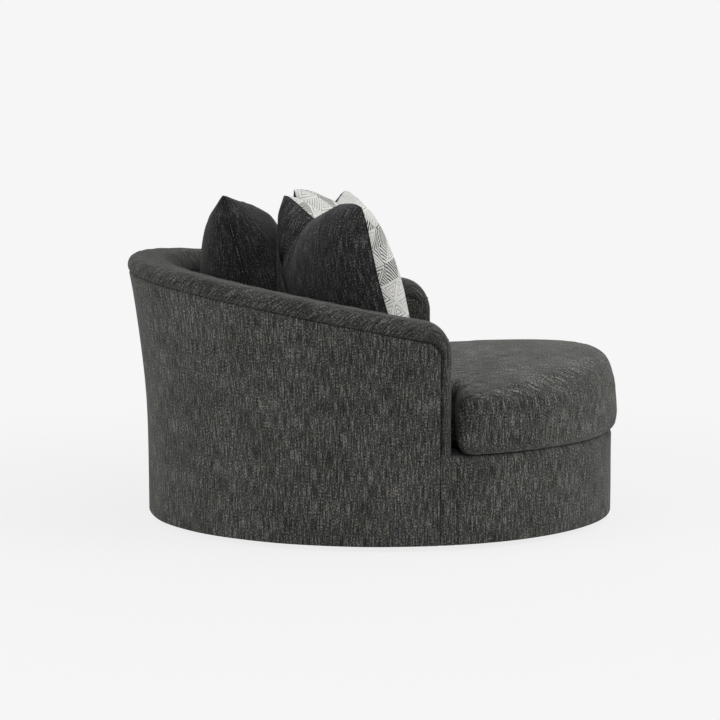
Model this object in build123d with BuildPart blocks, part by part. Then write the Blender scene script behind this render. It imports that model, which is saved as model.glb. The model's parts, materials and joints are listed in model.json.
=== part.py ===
from build123d import *
import os
from math import acos, cos, radians, sin, sqrt, tan

# Swivel accent chair: a round upholstered seat on a ball-bearing swivel hidden in its base.
# Millimetres, +Z up. The origin is on the floor, on the swivel axis. The front faces -Y, so the
# sitter's right arm is on the -X side.

# Outside form
base_radius = 716  # outside of the covers at the floor
hem_height = 15  # gap between the covers and the floor
flare_start = 150  # height where the wall starts to lean out
flare_radius = 3270  # curve of the leaning wall, seen from the side
wall_thickness = 150  # outside cover to inside back
arm_front = 190  # reach of the arms in front of the swivel axis
crest_front = 656  # height of the rail's crest over the arm fronts
crest_back = 841  # height of the rail's crest at its highest point
crest_margin = 134  # how far behind the foot of the back that highest point is measured
crest_bow = 11.4  # rise of the crest's arc over a straight line
roll_depth = 52  # how far the roll reaches down the wall
roll_radius = 44  # rounding of the roll's long edges
corner_room = 4  # what an arm's upper front corner is rounder than the roll needs
least_corner = 6  # smallest rounding under the roll
front_depth = 30  # how far the arm fronts reach back to their seam
cover_thickness = 8  # fabric with its thin padding
deck_height = 277  # top of the base, under the seat cushion
band_lip_width = 110  # how far the front band reaches in over the deck
band_lip_thickness = 12
fit_gap = 0.5  # room between covers, padding and frame
soft_gap = 0.3  # room under the loose cushions

# Wooden frame
board = 18  # plywood thickness
hem_clearance = 2  # bottom ring over the hem
bottom_ring_width = 76
seat_ring_width = 116
deck_depth = 37  # top of the seat ring to the top of the deck
front_rail_width = 66
rib_thickness = 22
rib_room = 60  # from the arm posts to the first back rib
rib_depth = 46
base_rib_count = 12
top_rail_depth = 82
top_rail_thickness = 20
swivel_rail_width = 90
swivel_rail_height = 38
dust_cover_thickness = 1
dust_cover_room = 70  # between the floor ring's middle and the opening round it

# Seat suspension
spring_wire = 4
spring_count = 6
spring_spread = 160  # between the middles of neighbouring springs
spring_straight = 14  # straight stretch between two turns
spring_pitch = 46  # from one stretch to the next
spring_bearing = 28  # how far a spring lies on the seat ring
clip_length = 26
clip_width = 12
clip_thickness = 2

# Swivel base and bearing
floor_ring_radius = 430
tube_diameter = 25.4
glide_count = 8
glide_height = 8  # below the ring's tube
glide_length = 44
glide_wall = 5  # beside the tube
glide_edge = 3
spoke_width = 40
spoke_height = 20
spoke_start = 45
spoke_count = 4
plate_margin = 15  # plate beyond the race
plate_corner = 30
plate_thickness = 3
race_radius = 120
race_width = 30
race_height = 5
race_gap = 3.2  # between the two races
ball_diameter = 9.5
ball_count = 24
ball_clearance = 0.2
cage_thickness = 2
cage_width = 22
cage_clearance = 0.3
pivot_diameter = 16
running_fit = 0.06  # round the pivot, on the radius
pivot_hub_radius = 20
pivot_hub_height = 7
bushing_wall = 3
pivot_washer_radius = 17
pivot_washer_thickness = 2.5
pivot_nut_height = 13
pivot_head_height = 10
pivot_end = 3  # bolt beyond its nut
bushing_fit = 0.02  # bushing in its hub, on the radius
pivot_hex_radius = 13.5
bolt_diameter = 8
bolt_clearance = 0.2
bolt_edge = 27  # bolt to the inside of the race
screw_edge = 14  # screw to the plate's edge
screw_length = 30  # in the rails
bolt_head_radius = 6.5
bolt_head_height = 4
hex_sides = 6

# Seat cushion
cushion_overhang = 19  # its round front beyond the foot of the base
cushion_gap = 10  # to the inside back
wing_gap = 14  # to the arm fronts
cushion_height = 211  # at the middle of the crown
cushion_crown = 20  # how much lower the top is at the front edge
cushion_top_edge = 46
cushion_bottom_edge = 30
wing_corner = 54
notch_corner = 24

# Throw pillows
pillow_room = 46  # what a pillow's side, ear to ear, is shorter than the inside radius
pillow_thickness = 190
pillow_draw = 34  # how far a side is drawn in between two ears
chop_draw = 62  # the same on a top side that was pressed in by hand
pillow_rise = 12  # height that a pillow is set down from

# Heights over a pillow's seam, then the reach of its outline at mid-side and at the ears, as shares.
pillow_layers = [
    (0, 1, 1),
    (0.3, 0.955, 0.74),
    (0.6, 0.8, 0.53),
    (0.85, 0.527, 0.35),
    (1, 0.17, 0.113),
]
back_pillow_setback = 136  # its middle, in from the foot of the inside back
back_pillow_lean = 14
right_pillow_setback = 440
right_pillow_lean = 17
right_pillow_turn = 21
left_pillow_setback = 468
left_pillow_lean = 20
left_pillow_turn = 19
pillow_spacing = 4  # between the two side pillows

# Heights of the stacked pieces, from the floor up
tube_radius = tube_diameter / 2
floor_ring_z = glide_height + tube_radius
spoke_bottom = floor_ring_z - spoke_height / 2
spoke_top = floor_ring_z + spoke_height / 2
lower_plate_top = spoke_top + plate_thickness
lower_race_top = lower_plate_top + race_height
ball_z = lower_race_top + race_gap / 2
upper_race_bottom = lower_race_top + race_gap
upper_plate_bottom = upper_race_bottom + race_height
upper_plate_top = upper_plate_bottom + plate_thickness
bottom_ring_bottom = hem_height + hem_clearance
seat_ring_top = deck_height - deck_depth
seat_ring_bottom = seat_ring_top - board
spring_z = seat_ring_top + clip_thickness + spring_wire / 2
clip_height = 2 * clip_thickness + spring_wire + soft_gap
deck_pad_bottom = seat_ring_top + clip_height
lip_bottom = deck_height - band_lip_thickness
cushion_bottom = deck_height + soft_gap
cushion_top = cushion_bottom + cushion_height

# Distances from the outside of the wall inward
frame_inset = cover_thickness + fit_gap
rib_inset = frame_inset + rib_depth
rail_inset = frame_inset + top_rail_depth
padding_inset = rail_inset + fit_gap
frame_radius = base_radius - frame_inset
inside_radius = base_radius - wall_thickness
dust_cover_hole = floor_ring_radius + dust_cover_room

# Other places
seam_y = front_depth - arm_front  # seam between the outside cover and the front
wall_reach = 2 * base_radius  # past the object on every side
wall_top = crest_back + crest_bow
crest_reach = base_radius + crest_margin
rail_drop = roll_depth + fit_gap
rail_setback = front_depth + fit_gap
rib_drop = rail_drop + top_rail_thickness
front_angle = acos(arm_front / inside_radius)  # between an arm's front and its inside
arm_corner = roll_radius / tan(front_angle / 2) + corner_room
inner_corner = max(arm_corner - roll_depth, least_corner)
roll_foot = crest_front - arm_corner  # where the roll's front end meets the arm fronts
ball_radius = ball_diameter / 2
groove_radius = ball_radius + ball_clearance
pivot_radius = pivot_diameter / 2
rib_angles = [360 / base_rib_count * step for step in range(base_rib_count)]
first_rib_y = seam_y + rib_room
back_rib_angles = [angle for angle in rib_angles if frame_radius * cos(radians(angle)) > first_rib_y]
spring_places = [(step - (spring_count - 1) / 2) * spring_spread for step in range(spring_count)]
seat_ring_hole = frame_radius - seat_ring_width
race_outside = race_radius + race_width / 2
race_inside = race_radius - race_width / 2
plate_half = race_outside + plate_margin
rail_y = plate_half - screw_edge
rail_places = [(0, -rail_y), (0, rail_y)]
rail_length = 2 * sqrt(frame_radius**2 - (rail_y + swivel_rail_width / 2) ** 2)
screw_spread = 2 * (plate_half - plate_corner)
bolt_place = race_inside - bolt_edge
bolt_radius = bolt_diameter / 2
bolt_hole = bolt_radius + bolt_clearance
washer_bottom = upper_plate_top + soft_gap
nut_bottom = washer_bottom + pivot_washer_thickness
hub_bottom = upper_plate_bottom - pivot_hub_height
pivot_hole = pivot_radius + running_fit
bushing_radius = pivot_hole + bushing_wall

# Section planes: across the middle of the front, and the side view
front_section = Plane(origin=(0, 0, 0), x_dir=(0, -1, 0), z_dir=(-1, 0, 0))
back_section = Plane(origin=(0, 0, 0), x_dir=(0, 1, 0), z_dir=(1, 0, 0))
side_view = Plane.YZ


def wall_radius(z):
    """Radius of the wall's outside at a height."""
    lean = max(z - flare_start, 0)
    return base_radius + flare_radius - sqrt(flare_radius**2 - lean**2)


def wall_line(inset, low, high):
    """Add the wall's outside line, moved inward by inset, and return its two ends."""
    start = (wall_radius(low) - inset, low)
    end = (wall_radius(high) - inset, high)
    curve_low = max(low, flare_start)
    curve_middle = (curve_low + high) / 2
    if low < flare_start:
        Line(start, (base_radius - inset, flare_start))
    ThreePointArc(
        (wall_radius(curve_low) - inset, curve_low),
        (wall_radius(curve_middle) - inset, curve_middle),
        end,
    )
    return start, end


def wall_section(plane, outer_inset, inner_inset, low, high):
    """Sketch of the part of the wall's section that lies between two insets."""
    with BuildSketch(plane) as section:
        with BuildLine():
            outer_start, outer_end = wall_line(outer_inset, low, high)
            inner_start, inner_end = wall_line(inner_inset, low, high)
            Line(outer_start, inner_start)
            Line(outer_end, inner_end)
        make_face()
    return section.sketch


def under_crest(drop, setback, corner, mode):
    """Keep or cut what lies under the lowered crest and behind the arm fronts, moved back by setback."""
    with BuildSketch(side_view) as outline:
        with BuildLine():
            SagittaArc((-arm_front, crest_front - drop), (crest_reach, crest_back - drop), crest_bow)
            Polyline(
                (crest_reach, crest_back - drop),
                (crest_reach, -wall_reach),
                (-arm_front, -wall_reach),
                (-arm_front, crest_front - drop),
            )
        make_face()
        with Locations((setback - arm_front, 0)):
            Rectangle(wall_reach, 2 * wall_reach, align=(Align.MIN, Align.CENTER), mode=Mode.INTERSECT)
        if corner:
            fillet(outline.vertices().sort_by(Axis.X)[:2].sort_by(Axis.Y)[-1], radius=corner)
    extrude(outline.sketch, amount=wall_reach, both=True, mode=mode)


def slab(y_low, y_high, z_low, z_high, mode):
    """Keep or cut a block that is as wide as the chair."""
    with BuildSketch(side_view) as outline:
        with BuildLine():
            Polyline((y_low, z_low), (y_high, z_low), (y_high, z_high), (y_low, z_high), close=True)
        make_face()
    extrude(outline.sketch, amount=wall_reach, both=True, mode=mode)


def flat_ring(outer, inner, low, high):
    """Add a flat ring about the swivel axis."""
    with BuildSketch(Plane.XY.offset(low)) as outline:
        Circle(outer)
        Circle(inner, mode=Mode.SUBTRACT)
    extrude(outline.sketch, amount=high - low)


def radial_plane(angle):
    """Upright plane through the swivel axis, turned from the middle of the back."""
    outward = Vector(0, 1, 0).rotate(Axis.Z, angle)
    return Plane(origin=(0, 0, 0), x_dir=outward, z_dir=outward.cross(Vector(0, 0, 1)))


# Upholstered wall, before it is divided into its pieces
with BuildPart() as wall:
    revolve(wall_section(front_section, 0, wall_thickness, deck_height, wall_top), axis=Axis.Z)
    under_crest(0, 0, arm_corner, Mode.INTERSECT)
    wall_edges = wall.faces().filter_by(GeomType.TORUS).edges()
    fillet(wall_edges.filter_by_position(Axis.Z, deck_height + fit_gap, wall_top), radius=roll_radius)

# Covers and padding
with BuildPart() as outer_cover:
    revolve(wall_section(front_section, 0, cover_thickness, hem_height, wall_top), axis=Axis.Z)
    under_crest(roll_depth, front_depth, inner_corner, Mode.INTERSECT)

with BuildPart() as inside_back:
    revolve(wall_section(front_section, padding_inset, wall_thickness, deck_height, wall_top), axis=Axis.Z)
    under_crest(roll_depth, front_depth, inner_corner, Mode.INTERSECT)

with BuildPart() as roll_and_fronts:
    add(wall.part)
    under_crest(roll_depth, front_depth, inner_corner, Mode.SUBTRACT)

with BuildPart() as top_roll:
    add(roll_and_fronts.part)
    split(bisect_by=Plane.XY.offset(roll_foot), keep=Keep.TOP)

with BuildPart() as arm_front_left:
    add(roll_and_fronts.part)
    split(bisect_by=Plane.XY.offset(roll_foot), keep=Keep.BOTTOM)
    split(bisect_by=Plane.YZ, keep=Keep.TOP)

with BuildPart() as arm_front_right:
    add(roll_and_fronts.part)
    split(bisect_by=Plane.XY.offset(roll_foot), keep=Keep.BOTTOM)
    split(bisect_by=Plane.YZ, keep=Keep.BOTTOM)

with BuildPart() as front_band:
    with BuildSketch(back_section) as band_section:
        with BuildLine():
            outer_foot, outer_top = wall_line(0, hem_height, deck_height)
            inner_foot, inner_top = wall_line(cover_thickness, hem_height, lip_bottom)
            lip_end = base_radius - band_lip_width
            Polyline(outer_top, (lip_end, deck_height), (lip_end, lip_bottom), inner_top)
            Line(outer_foot, inner_foot)
        make_face()
        fillet(band_section.vertices().sort_by(Axis.Y)[-2:].sort_by(Axis.X)[-1], radius=band_lip_thickness)
    revolve(axis=Axis.Z)
    slab(-wall_reach, seam_y, 0, wall_top, Mode.INTERSECT)

with BuildPart() as deck_pad:
    with BuildSketch(Plane.XY.offset(deck_pad_bottom)):
        Circle(base_radius - band_lip_width - fit_gap)
    extrude(amount=deck_height - deck_pad_bottom)

with BuildPart() as dust_cover:
    flat_ring(frame_radius, dust_cover_hole, bottom_ring_bottom - dust_cover_thickness, bottom_ring_bottom)

# Wooden frame
with BuildPart() as bottom_ring:
    flat_ring(frame_radius, frame_radius - bottom_ring_width, bottom_ring_bottom, upper_plate_top)

with BuildPart() as seat_ring:
    flat_ring(frame_radius, seat_ring_hole, seat_ring_bottom, seat_ring_top)

with BuildPart() as front_rail:
    flat_ring(frame_radius, frame_radius - front_rail_width, seat_ring_top, lip_bottom)
    slab(-wall_reach, seam_y, 0, wall_top, Mode.INTERSECT)

with BuildPart() as base_ribs:
    for angle in rib_angles:
        rib = wall_section(radial_plane(angle), frame_inset, rib_inset, upper_plate_top, seat_ring_bottom)
        extrude(rib, amount=rib_thickness / 2, both=True)
    with BuildSketch(Plane.XY.offset(upper_plate_top)):
        with Locations(*rail_places):
            Rectangle(wall_reach, swivel_rail_width + 2 * fit_gap)
    extrude(amount=swivel_rail_height + fit_gap, mode=Mode.SUBTRACT)

with BuildPart() as back_ribs:
    for angle in back_rib_angles:
        rib = wall_section(radial_plane(angle), frame_inset, rib_inset, seat_ring_top, wall_top)
        extrude(rib, amount=rib_thickness / 2, both=True)
    under_crest(rib_drop, 0, 0, Mode.INTERSECT)

with BuildPart() as arm_posts:
    revolve(wall_section(back_section, frame_inset, rail_inset, seat_ring_top, wall_top), axis=Axis.Z)
    slab(seam_y + fit_gap, seam_y + fit_gap + board, seat_ring_top, wall_top, Mode.INTERSECT)
    under_crest(rib_drop, 0, 0, Mode.INTERSECT)

with BuildPart() as top_rail:
    revolve(wall_section(front_section, frame_inset, rail_inset, deck_height, wall_top), axis=Axis.Z)
    under_crest(rail_drop, rail_setback, inner_corner, Mode.INTERSECT)
    under_crest(rib_drop, 0, 0, Mode.SUBTRACT)

with BuildPart() as swivel_rails:
    with BuildSketch(Plane.XY.offset(upper_plate_top)):
        with Locations(*rail_places):
            Rectangle(rail_length, swivel_rail_width)
    extrude(amount=swivel_rail_height)
    with BuildSketch(Plane.XY.offset(upper_plate_top)):
        with GridLocations(screw_spread, 2 * rail_y, 2, 2):
            Circle(bolt_hole)
    extrude(amount=screw_length, mode=Mode.SUBTRACT)

# Seat suspension
def spring_reach(place):
    """How far a spring runs to the front and to the back, onto the seat ring."""
    return sqrt(seat_ring_hole**2 - place**2) + spring_bearing


def spring_line(place):
    """Line of a sinuous spring: stretches from side to side joined by half turns."""
    reach = spring_reach(place)
    rows = round(2 * reach / spring_pitch)
    step = 2 * reach / rows
    side = spring_straight / 2
    bulge = step / 2
    with BuildLine(Plane.XY.offset(spring_z)) as line:
        for row in range(rows + 1):
            y = row * step - reach
            Line((place - side, y), (place + side, y))
            if row < rows:
                turn_x = place + side
                ThreePointArc((turn_x, y), (turn_x + bulge, y + step / 2), (turn_x, y + step))
            side = -side
            bulge = -bulge
    return line.wire()


with BuildPart() as seat_springs:
    for place in spring_places:
        wire = spring_line(place)
        with BuildSketch(Plane(origin=wire @ 0, z_dir=wire % 0)) as wire_section:
            Circle(spring_wire / 2)
        sweep(wire_section.sketch, path=wire)

with BuildPart() as spring_clips:
    for place in spring_places:
        for facing in (-1, 1):
            hook = Plane(
                origin=(place, facing * spring_reach(place), seat_ring_top),
                x_dir=(0, facing, 0),
                z_dir=(facing, 0, 0),
            )
            with BuildSketch(hook) as clip_section:
                with BuildLine():
                    Polyline(
                        (-clip_length / 2, 0),
                        (clip_length / 2, 0),
                        (clip_length / 2, clip_height),
                        (-spring_wire, clip_height),
                        (-spring_wire, clip_height - clip_thickness),
                        (clip_length / 2 - clip_thickness, clip_height - clip_thickness),
                        (clip_length / 2 - clip_thickness, clip_thickness),
                        (-clip_length / 2, clip_thickness),
                        close=True,
                    )
                make_face()
            extrude(clip_section.sketch, amount=clip_width / 2, both=True)

# Loose seat cushion
cushion_front = base_radius + cushion_overhang
cushion_rear = inside_radius - cushion_gap
wing_y = -arm_front - wing_gap
wing_x = sqrt(cushion_front**2 - wing_y**2)
notch_x = sqrt(cushion_rear**2 - wing_y**2)
crown_radius = (cushion_front**2 + cushion_crown**2) / (2 * cushion_crown)

with BuildPart() as seat_cushion:
    with BuildSketch(Plane.XY.offset(cushion_bottom)) as cushion_outline:
        with BuildLine():
            ThreePointArc((-wing_x, wing_y), (0, -cushion_front), (wing_x, wing_y))
            Line((wing_x, wing_y), (notch_x, wing_y))
            RadiusArc((notch_x, wing_y), (0, cushion_rear), -cushion_rear)
            RadiusArc((0, cushion_rear), (-notch_x, wing_y), -cushion_rear)
            Line((-notch_x, wing_y), (-wing_x, wing_y))
        make_face()
        corners = cushion_outline.vertices().sort_by(Axis.X)
        fillet([corners[0], corners[-1]], radius=wing_corner)
        fillet([corners[1], corners[-2]], radius=notch_corner)
    extrude(amount=cushion_height)
    with Locations((0, 0, cushion_top - crown_radius)):
        Sphere(crown_radius, rotation=(90, 0, 0), mode=Mode.INTERSECT)
    fillet(seat_cushion.faces().sort_by(Axis.Z)[-1].edges(), radius=cushion_top_edge)
    fillet(seat_cushion.faces().sort_by(Axis.Z)[0].edges(), radius=cushion_bottom_edge)


# Throw pillows
pillow_size = inside_radius - pillow_room


def pillow(place, lean, turn, top_draw):
    """Make a knife-edge pillow that leans back and is turned about an upright line."""
    up = Vector(0, sin(radians(lean)), cos(radians(lean))).rotate(Axis.Z, turn)
    across = Vector(1, 0, 0).rotate(Axis.Z, turn)
    half = pillow_size / 2
    origin = Vector(*place, cushion_top + half * cos(radians(lean)) + pillow_rise)
    seam = Plane(origin=origin, x_dir=across, z_dir=across.cross(up))
    with BuildPart() as form:
        for height, side_share, ear_share in pillow_layers:
            ear = half * ear_share
            side = (half - pillow_draw) * side_share
            top = (half - pillow_draw - (top_draw - pillow_draw) * (1 - height)) * side_share
            with BuildSketch(seam.offset(height * pillow_thickness / 2)):
                with BuildLine():
                    ThreePointArc((-ear, ear), (0, top), (ear, ear))
                    ThreePointArc((ear, ear), (side, 0), (ear, -ear))
                    ThreePointArc((ear, -ear), (0, -side), (-ear, -ear))
                    ThreePointArc((-ear, -ear), (-side, 0), (-ear, ear))
                make_face()
        loft()
        mirror(about=seam)
    return form.part


def side_pillow_place(side, lean, turn, setback):
    """Where a turned pillow stands on one side, so that its inner ear just clears the middle."""
    ear_reach = cos(radians(turn)) + sin(radians(lean)) * sin(radians(turn))
    reach = ear_reach * pillow_size / 2 + pillow_spacing / 2
    return side * reach, inside_radius - setback


def set_down(loose, support):
    """Lower a loose piece until it lies just over what carries it."""
    room = loose.distance_to(support)
    while room > 2 * soft_gap:
        loose = Pos(0, 0, soft_gap - room) * loose
        room = loose.distance_to(support)
    return loose


back_pillow_place = (0, inside_radius - back_pillow_setback)
right_pillow_place = side_pillow_place(-1, right_pillow_lean, right_pillow_turn, right_pillow_setback)
left_pillow_place = side_pillow_place(1, left_pillow_lean, left_pillow_turn, left_pillow_setback)
loose_back = pillow(back_pillow_place, back_pillow_lean, 0, pillow_draw)
loose_right = pillow(right_pillow_place, right_pillow_lean, right_pillow_turn, chop_draw)
loose_left = pillow(left_pillow_place, left_pillow_lean, -left_pillow_turn, chop_draw)
back_pillow = set_down(loose_back, seat_cushion.part)
right_pillow = set_down(loose_right, seat_cushion.part)
left_pillow = set_down(loose_left, seat_cushion.part)

# Swivel base
def tube_section(radius):
    """Sketch of the floor ring's round tube, cut through at the back."""
    with BuildSketch(back_section) as section:
        with Locations((floor_ring_radius, floor_ring_z)):
            Circle(radius)
    return section.sketch


with BuildPart() as floor_ring:
    revolve(tube_section(tube_radius), axis=Axis.Z)

with BuildPart() as base_spokes:
    for step in range(spoke_count):
        spoke = radial_plane(360 / spoke_count * step)
        spoke_end = Plane(origin=(0, 0, floor_ring_z), x_dir=spoke.z_dir, z_dir=spoke.x_dir)
        with BuildSketch(spoke_end.offset(spoke_start)):
            Rectangle(spoke_width, spoke_height)
    extrude(amount=floor_ring_radius - spoke_start)
    revolve(tube_section(tube_radius), axis=Axis.Z, mode=Mode.SUBTRACT)
    with BuildSketch(Plane.XY.offset(spoke_bottom)):
        with PolarLocations(bolt_place, spoke_count):
            Circle(bolt_hole)
    extrude(amount=spoke_height, mode=Mode.SUBTRACT)

with BuildPart() as floor_glides:
    with BuildSketch():
        with PolarLocations(floor_ring_radius, glide_count, start_angle=180 / glide_count):
            RectangleRounded(tube_diameter + 2 * glide_wall, glide_length, glide_wall)
    extrude(amount=floor_ring_z)
    revolve(tube_section(tube_radius + soft_gap), axis=Axis.Z, mode=Mode.SUBTRACT)
    fillet(floor_glides.faces().group_by(Axis.Z)[0].edges(), radius=glide_edge)


# Swivel plates, bearing and pivot
def swivel_plate(low, race_low):
    """Add a square plate and its raised race with a groove for the balls."""
    with BuildSketch(Plane.XY.offset(low)) as outline:
        RectangleRounded(2 * plate_half, 2 * plate_half, plate_corner)
    extrude(outline.sketch, amount=plate_thickness)
    flat_ring(race_outside, race_inside, race_low, race_low + race_height)
    with BuildSketch(back_section) as groove:
        with Locations((race_radius, ball_z)):
            Circle(groove_radius)
    revolve(groove.sketch, axis=Axis.Z, mode=Mode.SUBTRACT)


with BuildPart() as lower_plate:
    swivel_plate(spoke_top, lower_plate_top)
    with BuildSketch(Plane.XY.offset(spoke_top)):
        Circle(pivot_hole)
        with PolarLocations(bolt_place, spoke_count):
            Circle(bolt_hole)
    extrude(amount=plate_thickness, mode=Mode.SUBTRACT)

with BuildPart() as upper_plate:
    swivel_plate(upper_plate_bottom, upper_race_bottom)
    with BuildSketch(Plane.XY.offset(hub_bottom)):
        Circle(pivot_hub_radius)
    extrude(amount=pivot_hub_height)
    with BuildSketch(Plane.XY.offset(hub_bottom)):
        Circle(bushing_radius + bushing_fit)
        with GridLocations(screw_spread, 2 * rail_y, 2, 2):
            Circle(bolt_hole)
    extrude(amount=upper_plate_top - hub_bottom, mode=Mode.SUBTRACT)

with BuildPart() as pivot_bushing:
    flat_ring(bushing_radius, pivot_hole, hub_bottom, upper_plate_top)

with BuildPart() as pivot_bolt:
    with BuildSketch(Plane.XY.offset(spoke_top - pivot_head_height)):
        RegularPolygon(pivot_hex_radius, hex_sides)
    extrude(amount=pivot_head_height)
    with BuildSketch(Plane.XY.offset(spoke_top)):
        Circle(pivot_radius)
    extrude(amount=nut_bottom + pivot_nut_height + pivot_end - spoke_top)

with BuildPart() as pivot_washer:
    flat_ring(pivot_washer_radius, pivot_hole, washer_bottom, nut_bottom)

with BuildPart() as pivot_nut:
    with BuildSketch(Plane.XY.offset(nut_bottom)):
        RegularPolygon(pivot_hex_radius, hex_sides)
        Circle(pivot_hole, mode=Mode.SUBTRACT)
    extrude(amount=pivot_nut_height)

with BuildPart() as lower_plate_bolts:
    with BuildSketch(Plane.XY.offset(spoke_bottom)):
        with PolarLocations(bolt_place, spoke_count):
            Circle(bolt_radius)
    extrude(amount=lower_plate_top - spoke_bottom)
    with BuildSketch(Plane.XY.offset(lower_plate_top)):
        with PolarLocations(bolt_place, spoke_count):
            RegularPolygon(bolt_head_radius, hex_sides)
    extrude(amount=bolt_head_height)

with BuildPart() as upper_plate_screws:
    with BuildSketch(Plane.XY.offset(upper_plate_bottom - bolt_head_height)):
        with GridLocations(screw_spread, 2 * rail_y, 2, 2):
            RegularPolygon(bolt_head_radius, hex_sides)
    extrude(amount=bolt_head_height)
    with BuildSketch(Plane.XY.offset(upper_plate_bottom)):
        with GridLocations(screw_spread, 2 * rail_y, 2, 2):
            Circle(bolt_radius)
    extrude(amount=plate_thickness + screw_length)

with BuildPart() as ball_cage:
    flat_ring(
        race_radius + cage_width / 2,
        race_radius - cage_width / 2,
        ball_z - cage_thickness / 2,
        ball_z + cage_thickness / 2,
    )
    with BuildSketch(Plane.XY.offset(ball_z)):
        with PolarLocations(race_radius, ball_count):
            Circle(ball_radius + cage_clearance)
    extrude(amount=cage_thickness, both=True, mode=Mode.SUBTRACT)

with BuildPart() as bearing_balls:
    with Locations((0, 0, ball_z)):
        with PolarLocations(race_radius, ball_count):
            Sphere(ball_radius)

pieces = {
    "outer_cover": outer_cover.part,
    "inside_back": inside_back.part,
    "top_roll": top_roll.part,
    "arm_front_left": arm_front_left.part,
    "arm_front_right": arm_front_right.part,
    "front_band": front_band.part,
    "deck_pad": deck_pad.part,
    "dust_cover": dust_cover.part,
    "bottom_ring": bottom_ring.part,
    "seat_ring": seat_ring.part,
    "front_rail": front_rail.part,
    "base_ribs": base_ribs.part,
    "back_ribs": back_ribs.part,
    "arm_posts": arm_posts.part,
    "top_rail": top_rail.part,
    "swivel_rails": swivel_rails.part,
    "seat_springs": seat_springs.part,
    "spring_clips": spring_clips.part,
    "seat_cushion": seat_cushion.part,
    "back_pillow": back_pillow,
    "right_pillow": right_pillow,
    "left_pillow": left_pillow,
    "floor_ring": floor_ring.part,
    "base_spokes": base_spokes.part,
    "floor_glides": floor_glides.part,
    "lower_plate": lower_plate.part,
    "lower_plate_bolts": lower_plate_bolts.part,
    "upper_plate": upper_plate.part,
    "upper_plate_screws": upper_plate_screws.part,
    "pivot_bushing": pivot_bushing.part,
    "pivot_bolt": pivot_bolt.part,
    "pivot_washer": pivot_washer.part,
    "pivot_nut": pivot_nut.part,
    "ball_cage": ball_cage.part,
    "bearing_balls": bearing_balls.part,
}

os.makedirs("parts", exist_ok=True)
for name, piece in pieces.items():
    piece.label = name
    export_step(piece, f"parts/{name}.step")
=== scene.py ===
"""Looks of a round swivel accent chair: chenille covers, loose cushion, throw pillows and hidden base.

Everything is in metres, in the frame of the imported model: +Z up, the floor at zero, the swivel axis at the
origin, the front towards -Y and the sitter's right arm on the -X side.
"""

import json
import logging
import math
from dataclasses import dataclass
from enum import Enum

import bmesh
import bpy
import numpy as np
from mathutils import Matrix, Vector


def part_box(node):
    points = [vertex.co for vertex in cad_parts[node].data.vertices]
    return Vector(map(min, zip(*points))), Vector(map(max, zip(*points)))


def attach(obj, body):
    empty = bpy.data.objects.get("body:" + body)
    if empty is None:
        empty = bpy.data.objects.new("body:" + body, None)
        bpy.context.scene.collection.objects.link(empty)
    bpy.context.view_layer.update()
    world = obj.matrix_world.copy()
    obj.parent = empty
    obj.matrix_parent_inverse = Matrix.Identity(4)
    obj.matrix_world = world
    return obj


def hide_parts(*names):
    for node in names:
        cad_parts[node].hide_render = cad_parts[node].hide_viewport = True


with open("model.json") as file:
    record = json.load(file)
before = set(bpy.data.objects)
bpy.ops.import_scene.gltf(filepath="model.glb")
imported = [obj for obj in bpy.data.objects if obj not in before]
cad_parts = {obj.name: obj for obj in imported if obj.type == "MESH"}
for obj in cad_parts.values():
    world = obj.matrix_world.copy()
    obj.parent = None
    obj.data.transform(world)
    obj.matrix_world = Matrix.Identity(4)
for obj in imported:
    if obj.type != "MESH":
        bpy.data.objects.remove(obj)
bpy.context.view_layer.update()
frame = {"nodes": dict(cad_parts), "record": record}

log = logging.getLogger("chair")

Array = np.ndarray
Piece = bpy.types.Object
Cloth = bpy.types.Material
Socket = bpy.types.NodeSocket
Colour = tuple[float, float, float]
Point = tuple[float, float, float]
Span = tuple[float, float]

WEAVE = "weave"
WEAVE_SIDE = "weave_side"
SIDE_SHARE = "side_share"
# Painted light and shade: a share by which a piece, or the cushion's top, is drawn paler or darker
PAINTED_LIGHT_AND_SHADE = "painted_light_and_shade"
SEAM_NEAR = "seam_near"
SEAM_REACH = 0.04


class Body(Enum):
    """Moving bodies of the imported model."""

    CHAIR = "chair"
    CUSHION = "seat_cushion"
    BACK_PILLOW = "back_pillow"
    RIGHT_PILLOW = "right_pillow"
    LEFT_PILLOW = "left_pillow"


class Slot(Enum):
    """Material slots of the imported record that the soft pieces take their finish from."""

    CHENILLE = "charcoal_chenille"
    PILLOW_CHENILLE = "pillow_chenille"
    PILLOW_PRINT = "pillow_print"
    DECK_CLOTH = "deck_cloth"
    DUST_CLOTH = "dust_cloth"


class Panel(Enum):
    """Which side of a throw pillow a material covers."""

    BACK = 0
    FRONT = 1


# Mesh helpers


def quads(index: Array) -> list[tuple[int, ...]]:
    """Join a grid of vertex numbers, rows by columns, into four-sided faces."""
    corners = [index[:-1, :-1], index[:-1, 1:], index[1:, 1:], index[1:, :-1]]
    return [tuple(face) for face in np.stack(corners, -1).reshape(-1, 4).tolist()]


def mesh_piece(name: str, points: Array, faces: list[tuple[int, ...]]) -> Piece:
    """Make a smooth-shaded closed mesh whose faces look outward.

    Args:
        name: Name of the piece.
        points: Vertex places, one row each.
        faces: Vertex numbers of each face.

    Returns:
        The new object, in the scene.
    """
    mesh = bpy.data.meshes.new(name)
    mesh.from_pydata(points.tolist(), [], faces)
    work = bmesh.new()
    work.from_mesh(mesh)
    bmesh.ops.recalc_face_normals(work, faces=work.faces)
    work.to_mesh(mesh)
    work.free()
    mesh.polygons.foreach_set("use_smooth", np.ones(len(mesh.polygons), bool))
    mesh.update()
    piece = bpy.data.objects.new(name, mesh)
    bpy.context.scene.collection.objects.link(piece)
    return piece


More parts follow.
